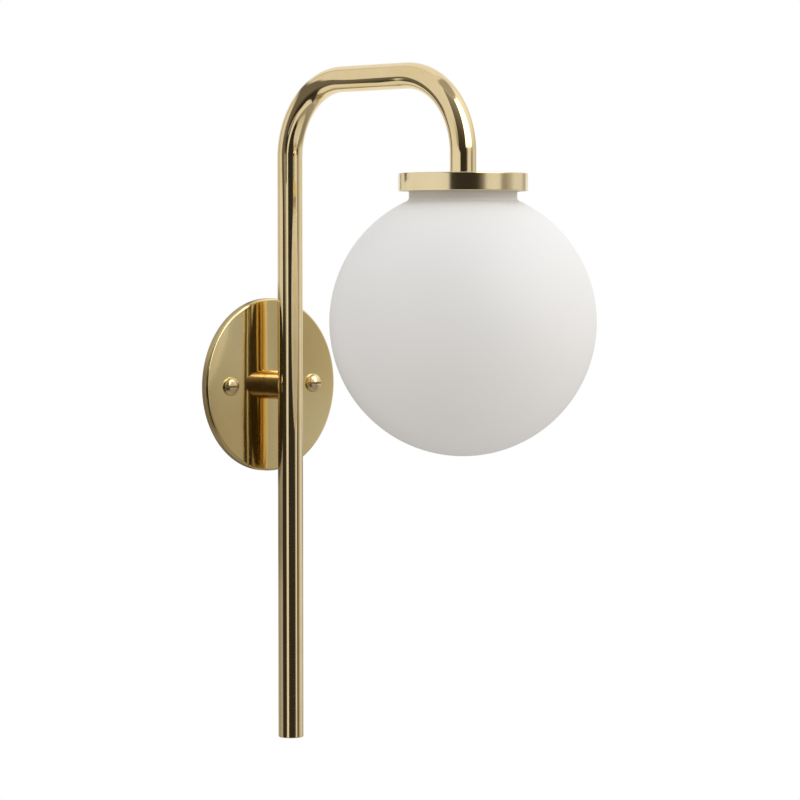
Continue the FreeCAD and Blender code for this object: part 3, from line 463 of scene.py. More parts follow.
ARM_BRASS = Brass("drawn_polished_brass", Grain.DRAWN, 0.075, 0.02, (0.90, 0.738, 0.432),
                  (0.852, 0.668, 0.356), 1.3e-7, 2.4e-6)
TURNED_BRASS = Brass("turned_polished_brass", Grain.MACHINED, 0.11, wave_height=1.0e-6)
SCREW_BRASS = SlottedBrass("screw_brass", Grain.MACHINED, 0.25, 0.04, (0.93, 0.79, 0.50),
                           (0.86, 0.69, 0.36), wave_height=5.0e-7)
STUB_BRASS = Brass("dull_turned_brass", Grain.SPUN, 0.20, 0.05, (0.82, 0.61, 0.33),
                   (0.72, 0.50, 0.24))
# The plate's two tones also serve as its painted highlight and its painted shade
PLATE_BRASS = SpunBrass("spun_polished_brass", Grain.SPUN, 0.09, 0.03, (0.98, 0.82, 0.45),
                        (0.80, 0.615, 0.27), 2.2e-7, 4.0e-5, 0.03)
RIM_BRASS = Brass("brushed_brass", Grain.BRUSHED, 0.10, 0.03, (0.90, 0.765, 0.48),
                  (0.86, 0.71, 0.41), 3.0e-7, stretch=0.9)
CUT_BRASS = Brass("machined_brass", Grain.MACHINED, 0.28, 0.08, (0.83, 0.66, 0.36),
                  (0.72, 0.54, 0.27), 8.0e-7)
INNER_FINISHES = {
    "zinc_steel": Coat("zinc_plated_steel", (0.62, 0.64, 0.66), (0.52, 0.53, 0.53), 0.34, 1.0),
    "green_steel": Coat("green_earth_paint", (0.06, 0.30, 0.12), (0.04, 0.22, 0.09), 0.42,
                        coat=0.3),
    "black_glass": Coat("dark_vitrite", (0.030, 0.020, 0.035), (0.055, 0.040, 0.060), 0.14,
                        coat=0.4),
    "ceramic": Coat("glazed_steatite", (0.86, 0.83, 0.76), (0.80, 0.76, 0.68), 0.30, coat=0.5),
    "white_plastic": Coat("moulded_white_plastic", (0.84, 0.84, 0.82), (0.79, 0.79, 0.76), 0.44),
    "nylon": Coat("natural_nylon", (0.82, 0.81, 0.75), (0.76, 0.75, 0.68), 0.46),
    "silicone": Coat("white_silicone", (0.86, 0.86, 0.84), (0.80, 0.80, 0.78), 0.60),
    "solder": Coat("tinned_contact", (0.70, 0.71, 0.72), (0.56, 0.57, 0.58), 0.32, 1.0),
    "nickel": Coat("nickel_plate", (0.68, 0.66, 0.62), (0.60, 0.58, 0.54), 0.24, 1.0),
    "phosphor": Coat("phosphor_coating", (0.92, 0.72, 0.22), (0.86, 0.64, 0.16), 0.66),
    "black_insulation": Coat("black_insulation", (0.022, 0.022, 0.022), (0.04, 0.04, 0.04), 0.38),
    "white_insulation": Coat("white_insulation", (0.82, 0.82, 0.80), (0.76, 0.76, 0.73), 0.38),
    "machined_brass": CUT_BRASS,
    "lamp_glass": LampGlass("frosted_lamp_glass", (0.95, 0.95, 0.94), 0.35),
    "stem_glass": LampGlass("clear_stem_glass", (0.92, 0.96, 0.94), 0.04),
}


# Surfaces


def outline(start: Pair, *moves: tuple[float, ...], margin: float = 6.0e-5,
            most: float = 0.2) -> Array:
    """A profile of straight and round moves, each from where the last one ended.

    A straight move (x, y, steps) has points at start + (end - start) * t, where t goes near,
    evenly on, 1 - near, 1: the close points keep the faces beside a round edge flat in their
    shading, and a move of no steps has its end alone. A round move (radius, first, last, steps)
    has points at centre + radius * (cos a, sin a), with a in degrees.

    Args:
        start: first point.
        moves: the moves in order.
        margin: distance of the close points from the ends.
        most: largest share of a move for that distance.

    Returns:
        The points, one in each row.
    """
    stretches = [np.array([start], float)]
    for *where, steps in moves:
        here = stretches[-1][-1]
        if len(where) == 2:
            near = min(margin / float(np.linalg.norm(where - here)), most)
            t = np.append(np.linspace(near, 1.0 - near, steps + 1) if steps else [], 1.0)
            stretches.append(here + (where - here) * t[:, None])
        else:
            radius, first, last = where
            a = np.radians(np.linspace(first, last, steps + 1))
            arc = radius * np.stack([np.cos(a), np.sin(a)], -1)
            stretches.append((here + arc - arc[0])[1:])
    return np.concatenate(stretches)


def closed(profile: Array) -> Array:
    """A profile that ends where it began."""
    return np.concatenate([profile, profile[:1]])


def lengths(points: Array) -> Array:
    """Distance along a line of points, from its first to each."""
    steps = np.linalg.norm(np.diff(points, axis=0), axis=1)
    return np.append(0.0, np.cumsum(steps))


@dataclass
class Skin:
    """A surface on a grid: its points, and the two distances of its UV map."""

    points: Array
    u: Array
    v: Array

    @staticmethod
    def turned(profile: Array, facing: Facing, axis_y: float = 0.0,
               columns: int = 128) -> "Skin":
        """Carries a profile round an axis.

        With radius r and height h along the profile and angle a round the axis, a piece on the
        wall's axis has x = r cos a, y = -h, z = r sin a, and one on the globe's axis has
        x = r cos a, y = axis_y + r sin a, z = h.

        Args:
            profile: radius and height in each row.
            facing: which axis.
            axis_y: where the upright axis stands.
            columns: steps round the axis.

        Returns:
            The surface, with metres round and along on its UV map.
        """
        a = np.linspace(0.0, FULL_TURN, columns + 1)[None, :]
        r, h = profile[:, :1], profile[:, 1:] + 0.0 * a
        across, along = r * np.cos(a), r * np.sin(a)
        if facing is Facing.OUT_OF_WALL:
            points = np.stack([across, -h, along], -1)
        else:
            points = np.stack([across, axis_y + along, h], -1)
        return Skin(points, a * float(profile[:, 0].max()), lengths(profile)[:, None])


def build(name: str, skins: list[Skin], material: Material, solid: bool = True,
          weld: float = 1e-7, fold: float = 35.0) -> bpy.types.Object:
    """Makes one mesh object from surfaces.

    Each grid cell becomes a face of four points. Points that coincide, at seams and poles, are
    merged, and then the faces of a solid piece are turned outwards.

    Args:
        name: the piece's name.
        skins: its surfaces.
        material: its material.
        solid: whether the surfaces close round a solid.
        weld: points closer than this are merged.
        fold: edges that fold by more degrees than this stay sharp.

    Returns:
        The object, at the origin.
    """
    points, charts, faces, first = [], [], [], 0
    for skin in skins:
        rows, columns = skin.points.shape[:2]
        index = first + np.arange(rows * columns).reshape(rows, columns)
        faces.append(np.stack([index[:-1, :-1], index[:-1, 1:], index[1:, 1:], index[1:, :-1]],
                              -1).reshape(-1, 4))
        points.append(skin.points.reshape(-1, 3))
        charts.append(np.stack(np.broadcast_arrays(skin.u, skin.v), -1).reshape(-1, 2))
        first += rows * columns
    points, charts, faces = map(np.concatenate, (points, charts, faces))
    mesh = bpy.data.meshes.new(name)
    mesh.from_pydata(points, [], faces)
    layer = mesh.uv_layers.new(name="UVMap")
    layer.uv.foreach_set("vector", charts[faces.ravel()].astype(np.float32).ravel())
    form = bmesh.new()
    form.from_mesh(mesh)
    bmesh.ops.remove_doubles(form, verts=form.verts, dist=weld)
    if solid:
        bmesh.ops.recalc_face_normals(form, faces=form.faces)
    form.to_mesh(mesh)
    form.free()
    mesh.shade_smooth()
    mesh.set_sharp_from_angle(angle=math.radians(fold))
    mesh.validate()
    mesh.materials.append(material)
    piece = bpy.data.objects.new(name, mesh)
    bpy.context.scene.collection.objects.link(piece)
    return piece


def settle(name: str, node: str, skins: list[Skin], material: Material,
           body: str = "fixture") -> None:
    """Builds a piece and puts it in the place of its node.

    Args:
        name: the piece's name.
        node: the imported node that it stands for.
        skins: its surfaces.
        material: its material.
        body: the body that it moves with.
    """
    piece = build(name, skins, material)
    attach(piece, body)
    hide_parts(node)
    LOG.info("%s stands for %s, %d faces", piece.name, node, len(piece.data.polygons))


# The wall end


@dataclass
class WallPlate:
    """The spun plate: a shallow pan with a rounded front edge and a middle hole."""

    radius: float = 0.0690
    depth: float = PLATE_FACE
    wall: float = 0.0015
    edge: float = 0.0018
    hole: float = NIPPLE_HOLE
    fall: float = 0.00026
    fall_width: float = 0.022

    def dress(self, brass: Material) -> None:
        """Builds the plate.

        The profile goes out across the face, round the edge, back to the wall, and returns along
        the inside at the sheet's thickness, so that one closed line bounds the metal. The face is
        flat but for its outermost ring, which falls by fall * t^2, with t from 0 to 1 across
        fall_width.
        """
        flat, inner = self.radius - self.edge, self.radius - self.wall
        front = outline((self.hole, self.depth), (flat, self.depth, 60), (self.edge, 90, 0, 16))
        share = np.clip((front[:, 0] - flat) / self.fall_width + 1.0, 0.0, 1.0)
        front[:, 1] -= self.fall * share ** 2
        rest = outline(
            front[-1], (self.radius, 0, 3), (inner, 0, 1), (inner, self.depth - self.edge, 3),
            (self.edge - self.wall, 0, 90, 8), (self.hole, self.depth - self.wall, 12))
        profile = closed(np.concatenate([front, rest[1:]]))
        skin = Skin.turned(profile, Facing.OUT_OF_WALL, columns=256)
        settle("wall_plate_spun", "backplate", [skin], brass)


@dataclass
class FaceScrews:
    """Two slotted screws with high round heads."""

    offset: float = 0.04445
    seat: float = PLATE_FACE
    head: float = 0.00745
    side: float = 0.0005
    dome: float = 0.0048
    slot_width: float = 0.0014
    slot_depth: float = 0.0034
    clear: float = 0.02
    shank: float = 0.0020
    tip: float = 0.0003
    pitch: float = 0.0008
    thread: float = 0.00025
    thread_end: float = 0.0004
    column_width: float = 0.0004

    def head_skin(self, x: float) -> Skin:
        """The head, on rows that run level along the slot.

        A row at height b across the disc goes from one side of it to the other, x = s times the
        root of (head^2 - b^2) with s from -1 to 1. It lies on the dome, half of an ellipsoid, and
        between the slot's edges no higher than its floor. The rows at the slot's edges are
        doubled, once up and once down, which makes its upright walls, and the next rows stand off
        by the angle clear, in radians. Each row closes along the seat, so the head is one closed
        surface.

        Args:
            x: the screw's place on the plate.

        Returns:
            The head's surface.
        """
        half, base = self.slot_width / 2, self.seat + self.side
        first = math.asin(half / self.head) + self.clear
        upper = self.head * np.sin(np.linspace(first, math.pi / 2, 30))
        inside = np.linspace(-half, half, 5)
        b = np.concatenate([-upper[::-1], [-half], inside, [half], upper])[:, None]
        sunk = np.zeros((len(b), 1), bool)
        sunk[len(upper) + 1:len(upper) + 1 + len(inside)] = True
        s = np.sin(np.linspace(-math.pi / 2, math.pi / 2, 57))[None, :]
        across = s * np.sqrt(np.maximum(self.head ** 2 - b ** 2, 0.0))
        flat = np.clip(1.0 - (across ** 2 + b ** 2) / self.head ** 2, 0.0, 1.0)
        height = base + self.dome * np.sqrt(flat)
        floor = base + self.dome - self.slot_depth
        height = np.where(sunk, np.minimum(height, floor), height)
        low = np.full((len(b), 1), self.seat)
        across = np.concatenate([across, across[:, -1:], across[:, :1], across[:, :1]], 1)
        height = np.concatenate([height, low, low, height[:, :1]], 1)
        points = np.stack([x + across, -height, b + 0.0 * across], -1)
        return Skin(points, np.arange(points.shape[1])[None, :] * self.column_width, b)

    def shank_skin(self, x: float) -> Skin:
        """The threaded shank: its radius swings by the thread's depth once for each pitch.

        radius = shank - thread * (0.5 + 0.5 cos(turns)), where turns = 2 pi (length / pitch) less
        the angle round the axis, which makes the crests one steady helix. It fades at both ends.
        """
        angle = np.linspace(0.0, FULL_TURN, 33)[None, :]
        length = self.seat - self.tip
        v = np.linspace(0.0, length, 72)[:, None]
        fade = np.clip(np.minimum(v, length - v) / self.thread_end, 0.0, 1.0)
        cut = self.thread * fade * (0.5 + 0.5 * np.cos(FULL_TURN * v / self.pitch - angle))
        radius = self.shank - cut
        radius = np.concatenate([0 * radius[:1], radius, 0 * radius[-1:]])
        v = np.concatenate([v[:1], v, v[-1:]])
        points = np.stack([x + radius * np.cos(angle), -(self.tip + v) + 0.0 * angle,
                           radius * np.sin(angle)], -1)
        return Skin(points, angle * self.shank, v)

    def dress(self, brass: Material) -> None:
        """Builds both screws as one piece."""
        skins = [make(x) for x in (-self.offset, self.offset)
                 for make in (self.head_skin, self.shank_skin)]
        settle("face_screw_pair", "face_screws", skins, brass)


@dataclass
class Standoff:
    """The turned stub between plate and tube, its front end saddled round the tube."""

    radius: float = 0.0115
    bore: float = NIPPLE_HOLE
    rear: float = PLATE_FACE
    chamfer: float = 0.0003
    beside: float = 0.0001
    groove: float = 0.0118
    groove_half: float = 0.0003
    lips: float = 0.0250
    tube_offset: float = TUBE_OFFSET
    saddle: float = 0.01005
    row_width: float = 0.001

    def front(self, x: Array) -> Array:
        """Height of the front end: the lips, or the tube's near side where that is lower.

        The tube's near side is at tube_offset less the root of (saddle^2 - x^2).
        """
        dip = self.tube_offset - np.sqrt(np.maximum(self.saddle ** 2 - x ** 2, 0.0))
        return np.minimum(self.lips, np.where(np.abs(x) < self.saddle, dip, self.lips))

    def dress(self, brass: Material) -> None:
        """Builds the stub.

        Each column at angle a goes out along the rear face, over the chamfer, up the side past a
        fine V groove to the front end at x = radius cos a, inwards along the saddle and back down
        the bore.
        """
        a = np.linspace(0.0, FULL_TURN, 193)[None, :]
        edge = self.radius - self.chamfer
        rear = np.array([[self.bore, 0.0], [edge - self.beside, 0.0], [edge, 0.0],
                         [self.radius, self.chamfer],
                         [self.radius, self.chamfer + self.beside]])
        cut = np.array([[0.0, -2.0], [0.0, -1.0], [-1.2, 0.0], [0.0, 1.0], [0.0, 2.0]])
        cut = cut * self.groove_half + [self.radius, self.groove - self.rear]
        rear = np.concatenate([rear, cut])
        side = np.linspace(0.0, 1.0, 13)[1:, None]
        reach = self.front(self.radius * np.cos(a))
        inward = self.radius + (self.bore - self.radius) * np.linspace(0.0, 1.0, 25)[1:, None]
        back = np.array([[0.3], [0.7], [1.0]])
        top, lip = self.rear + rear[-1, 1], self.front(inward * np.cos(a))
        r = np.concatenate([rear[:, :1], self.radius + 0.0 * side, inward,
                            self.bore + 0.0 * back]) + 0.0 * a
        h = np.concatenate([self.rear + rear[:, 1:] + 0.0 * a, top + (reach - top) * side, lip,
                            lip[-1:] + (self.rear - lip[-1:]) * back])
        points = np.stack([r * np.cos(a), -h, r * np.sin(a)], -1)
        skin = Skin(points, a * self.radius, np.arange(len(r))[:, None] * self.row_width)
        settle("standoff_turned", "standoff", [skin], brass)


# The arm


@dataclass
class Arm:
    """The bent tube and the plug in its lower end."""

    radius: float = 0.0100
    wall: float = 0.0015
    offset: float = TUBE_OFFSET
    tail: float = 0.2790
    rise: float = 0.2400
    reach: float = 0.1900
    bend: float = 0.0600
    front_end: float = GALLERY_TOP
    cap_thick: float = 0.0020
    cap_round: float = 0.0006
    cap_plug: float = 0.0080
    fit: float = 0.00005

    def path(self) -> tuple[Array, Array]:
        """The tube's axis and its directions, in the plane of Y and Z.

        It goes up at y = -offset, through a quarter circle of the bend's radius, level to the
        second quarter circle, and down at y = -(offset + reach).

        Returns:
            Points and unit directions, one in each row.
        """
        drop = -self.offset - self.reach
        points = outline(
            (-self.offset, -self.tail), (-self.offset, self.rise - self.bend, 90),
            (self.bend, 0, 90, 72), (drop + self.bend, self.rise, 14), (self.bend, 90, 180, 72),
            (drop, self.front_end, 4))
        ahead = np.gradient(points, lengths(points), axis=0)
        return points, ahead / np.linalg.norm(ahead, axis=1)[:, None]

    def tube_skin(self) -> Skin:
        """The tube's wall: a circle carried along the axis outside, and back along the bore.

        Point = axis + radius (cos a, sin a) on the X axis and on the normal in the bend's plane.
        """
        points, ahead = self.path()
        a = np.linspace(0.0, FULL_TURN, 129)[None, :]
        side = np.stack([-ahead[:, 1], ahead[:, 0]], -1)
        along = lengths(points)

        def ring(radius: float) -> Array:
            """The circle of one radius at every point of the axis."""
            y = points[:, :1] + radius * np.sin(a) * side[:, :1]
            z = points[:, 1:] + radius * np.sin(a) * side[:, 1:]
            return np.stack([radius * np.cos(a) + 0.0 * y, y, z], -1)

        outside, inside = ring(self.radius), ring(self.radius - self.wall)[::-1]
        grid = np.concatenate([outside, inside, outside[:1]])
        v = np.concatenate([along, along[::-1], along[:1]])[:, None]
        return Skin(grid, a * self.radius, v)

    def dress(self, brass: Material, cut: Material) -> None:
        """Builds the tube and its end cap."""
        settle("arm_tube_bent", "arm_tube", [self.tube_skin()], brass)
        seat, low, top = -self.tail, -self.tail - self.cap_thick, -self.tail + self.cap_plug
        plug = self.radius - self.wall - self.fit
        profile = outline(
            (0.0, low), (self.radius - self.cap_round, low, 6), (self.cap_round, -90, 0, 8),
            (self.radius, seat, 2), (plug, seat, 1), (plug, top, 2), (0.0, top, 2))
        skin = Skin.turned(profile, Facing.UPRIGHT, -self.offset)
        settle("arm_end_cap_turned", "arm_end_cap", [skin], cut)


# The globe's end


@dataclass
class Gallery:
    """The shallow cup over the globe's neck."""

    axis_y: float = GLOBE_Y
    top: float = GALLERY_TOP
    radius: float = 0.0485
    depth: float = 0.0135
    wall: float = 0.0015
    disc: float = 0.0016
    edge: float = 0.0008
    hole: float = NIPPLE_HOLE

    def dress(self, brass: Material) -> None:
        """Builds the cup.

        The closed profile goes out over the top, round its edge, down the rim, round the lower
        edge, in across the rim's foot, and back up the inside to the middle hole.
        """
        rim, flat, inside = self.top - self.depth, self.radius - self.edge, self.radius - self.wall
        under = self.top - self.disc
        profile = closed(outline(
            (self.hole, self.top), (flat, self.top, 24), (self.edge, 90, 0, 10),
            (self.radius, rim + self.edge, 6), (self.edge, 0, -90, 10), (inside, rim, 1),
            (inside, under, 4), (self.hole, under, 8)))
        skin = Skin.turned(profile, Facing.UPRIGHT, self.axis_y, 256)
        settle("gallery_cup", "gallery_cap", [skin], brass)


@dataclass
class Globe:
    """The blown globe with its short neck and one turn of screw ridge."""

    axis_y: float = GLOBE_Y
    lip: float = 0.1620
    neck: float = 0.0405
    neck_foot: float = 0.14686
    radius: float = 0.1000
    wall: float = 0.0030
    fillet: float = 0.0030
    ridge_height: float = 0.00175
    ridge_foot: float = 0.0030
    ridge_tip: float = 0.0015
    ridge_start: float = 0.1530
    ridge_end: float = 0.12
    pitch: float = 0.0060
    columns: int = 256

    def profile(self) -> tuple[Array, int]:
        """Radius and height from the lip down the outside to the pole and back up the inside.

        Returns:
            The profile, and how many of its first points lie on the straight neck.
        """
        across = self.neck + self.fillet
        along = math.sqrt((self.radius + self.fillet) ** 2 - across ** 2)
        pole = self.neck_foot - along - self.radius
        lean = math.degrees(math.atan2(along, across))
        neck = outline((self.neck, self.lip), (self.neck, self.neck_foot, 120))
        rest = outline(
            neck[-1], (self.fillet, 180, 180 + lean, 14), (self.radius, lean, -90, 140),
            (0.0, pole + self.wall, 0), (self.radius - self.wall, -90, lean, 48),
            (self.fillet + self.wall, 180 + lean, 180, 6), (self.neck - self.wall, self.lip, 3))
        return closed(np.concatenate([neck, rest[1:]])), len(neck)

    def dress(self, glass: Material) -> None:
        """Builds the globe.

        The ridge stands out from the neck by its height times a trapezium's rise over the
        distance from its middle line, whose height climbs by the pitch in one turn. It runs out
        over the angle ridge_end, in radians, at each of its ends.
        """
        profile, straight = self.profile()
        skin = Skin.turned(profile, Facing.UPRIGHT, self.axis_y, self.columns)
        a = np.linspace(0.0, FULL_TURN, self.columns + 1)[None, :]
        level = profile[:straight, 1:]
        middle = self.ridge_start + self.pitch * a / FULL_TURN
        slope = (self.ridge_foot - self.ridge_tip) / 2
        rise = np.clip((self.ridge_foot / 2 - np.abs(level - middle)) / slope, 0.0, 1.0)
        rise *= np.clip(np.minimum(a, FULL_TURN - a) / self.ridge_end, 0.0, 1.0)
        radius = self.neck + self.ridge_height * rise
        skin.points[:straight, :, 0] = radius * np.cos(a)
        skin.points[:straight, :, 1] = self.axis_y + radius * np.sin(a)
        settle("globe_blown", "globe_glass", [skin], glass, "globe")


# The inside


@dataclass
class InnerWorks:
    """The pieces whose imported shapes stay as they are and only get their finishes."""

    nodes: dict[str, bpy.types.Object]
    slots: dict[str, str]
    replaced: frozenset[str] = frozenset((
        "backplate", "face_screws", "standoff", "arm_tube", "arm_end_cap", "gallery_cap",
        "globe_glass"))

    def dress(self) -> None:
        """Gives each remaining node the material of its slot."""
        made: dict[str, Material] = {}
        for name in sorted(set(self.nodes) - self.replaced):
            slot = self.slots[name]
            if slot not in made:
                made[slot] = INNER_FINISHES[slot].material()
            for place in self.nodes[name].material_slots:
                place.material = made[slot]
            LOG.info("%s keeps its shape, finished as %s", name, slot)


# The studio


@dataclass(frozen=True)
class Fade:
    """A change of level that is eased in between two places on a line."""

    change: float
    start: float
    end: float

    def at(self, place: Signal) -> Signal:
        """The change at a place: 0 at the start and all of it at the end."""
        return self.change * place.eased(self.start, self.end)


@dataclass(frozen=True)
class Panel:
    """A wall, gap or softbox far from the light, seen only in its polished surfaces.

    It stands round a heading, between the pitches low and high, all in degrees. Each side fades
    over the width soft, and its top and foot over soft_height to either side. Its level moves to
    level_above between the horizon and the pitch rise.
    """

    name: str
    heading: float
    half_width: float
    level: float
    soft: float = 5.0
    low: float = -90.0
    high: float = 90.0
    soft_height: float = 6.0
    level_above: float | None = None
    rise: float = 60.0

    def cover(self, heading: Signal, lift: Signal) -> Signal:
        """How far it hides what lies behind it, at a heading and a pitch."""
        off = abs((heading - self.heading).wrapped(HALF_TURN, -HALF_TURN))
        cover = off.eased(self.half_width + self.soft / 2, self.half_width - self.soft / 2)
        if self.high < Panel.high:
            cover = cover * lift.eased(self.high + self.soft_height, self.high - self.soft_height)
        if self.low > Panel.low:
            cover = cover * lift.eased(self.low - self.soft_height, self.low + self.soft_height)
        return cover


@dataclass(frozen=True)
class SideCard:
    """A tall pale card beside the arm, seen from its front alone and only in polished surfaces."""

    near: Pair = (-0.0607, -0.0425)
    far: Pair = (-0.965, -0.578)
    foot: float = -0.40
    top: float = 0.212
    level: float = 0.75
    body: Fade = Fade(0.07, 1.0, 0.95)
    notch: tuple[Pair, ...] = (
        (0.160, 0.0), (0.163, 0.026), (0.185, 0.030), (0.198, 0.036), (0.211, 0.062))

    def build(self) -> bpy.types.Object:
        """Makes the card: an upright sheet from far to near, darker along its near edge.

        Near its top that edge stands back, by the share of the card's length that notch gives
        for each height.
        """
        u = np.linspace(0.0, 1.0, 5)[None, :, None]
        heights, backs = np.array(self.notch).T
        z = np.array([self.foot, *heights, self.top])[:, None, None]
        near, far = np.array(self.near), np.array(self.far)
        plan = far + (near - far) * u * (1.0 - np.interp(z, heights, backs))
        points = np.concatenate([plan, z + 0.0 * u], -1)
        skin = Skin(points, u[..., 0], z[..., 0])
        graph = Graph(bpy.data.materials.new("side_card_face"))
        level = self.level + self.body.at(graph.parts(graph.place("UV"))[0])
        return build("side_card", [skin], graph.glow_in_front(level), solid=False)


@dataclass(frozen=True)
class RearWall:
    """The wall as the polished parts see it: pale, brighter higher up, dark behind the card."""

    offset: float = 0.002
    half_width: float = 1.6
    foot: float = -1.2
    top: float = 1.6
    level: float = 0.44
    climb: Fade = Fade(0.34, -0.16, 0.14)
    # Painted shadows on the wall: of the arm along a line, round the plate and in a strip under it
    arm_x: float = -0.018
    arm_line: Fade = Fade(-0.38, 0.009, 0.0)
    right: Fade = Fade(0.15, -0.012, 0.004)
    plate_loss: float = 0.45
    plate_loss_below: Fade = Fade(0.12, -0.015, -0.060)
    plate_range: Pair = (0.086, 0.071)
    strip_height: float = -0.105
    strip: Fade = Fade(-0.35, 0.07, 0.02)
    shade_level: float = 0.035
    shade_climb: Fade = Fade(0.125, 0.12, 0.20)
    shade_far: Fade = Fade(0.16, -0.28, -0.62)
    shade_far_heights: Pair = (0.10, 0.16)
    shade_sides: Pair = (0.030, 0.0)
    shade_by_plate: Fade = Fade(-0.55, 0.086, 0.076)
    corner: float = 0.190
    edge: float = 0.061
    edge_bulge: Fade = Fade(0.025, -0.02, 0.09)
    edge_top: Fade = Fade(-0.030, 0.13, 0.190)
    edge_range: Pair = (-0.005, 0.008)
    shoulder: float = 0.213
    crest: Fade = Fade(0.051, -0.120, -0.060)
    crest_range: Pair = (0.006, -0.006)

    def build(self) -> bpy.types.Object:
        """Makes the wall.

        Its level climbs with height. Painted shadows of the arm and the plate lower it along a
        line behind the arm, close to the plate, and in a level strip under the plate. Behind the
        card it is in shade, from the distance edge outwards, and the shade is lighter beside the
        plate and far to the left. Over the corner's height it narrows to a dark band that bends
        over the arm and ends between the shoulder and the crest.
        """
        x = np.linspace(-self.half_width, self.half_width, 5)[None, :]
        z = np.linspace(self.foot, self.top, 5)[:, None]
        points = np.stack([x + 0.0 * z, self.offset + 0.0 * (x + z), z + 0.0 * x], -1)
        skin = Skin(points, x, z)
        graph = Graph(bpy.data.materials.new("rear_wall_face"))
        x, _, z = graph.parts(graph.place())
        radius = (x * x + z * z) ** 0.5
        level = self.level + self.climb.at(z)
        # Painted shadows of the arm and the plate
        level = level * (1.0 + self.arm_line.at(abs(x - self.arm_x)))
        level = level * (1.0 + self.right.at(x))
        loss = self.plate_loss + self.plate_loss_below.at(z)
        level = level * (1.0 - loss * radius.eased(*self.plate_range))
        level = level * (1.0 + self.strip.at(abs(z - self.strip_height)))
        over = (z - self.corner).greater(0.0)
        edge = self.edge + self.edge_bulge.at(z) + self.edge_top.at(z)
        beyond = ((x * x + over * over) ** 0.5 - edge).eased(*self.edge_range)
        beyond = beyond * x.eased(*self.shade_sides) * (1.0 + self.shade_by_plate.at(radius))
        under = (z - (self.shoulder + self.crest.at(x))).eased(*self.crest_range)
        shade = (self.shade_level + self.shade_climb.at(z)
                 + self.shade_far.at(x) * z.eased(*self.shade_far_heights))
        level = level + (shade - level) * beyond * under
        return build("rear_wall", [skin], graph.glow_in_front(level), solid=False)


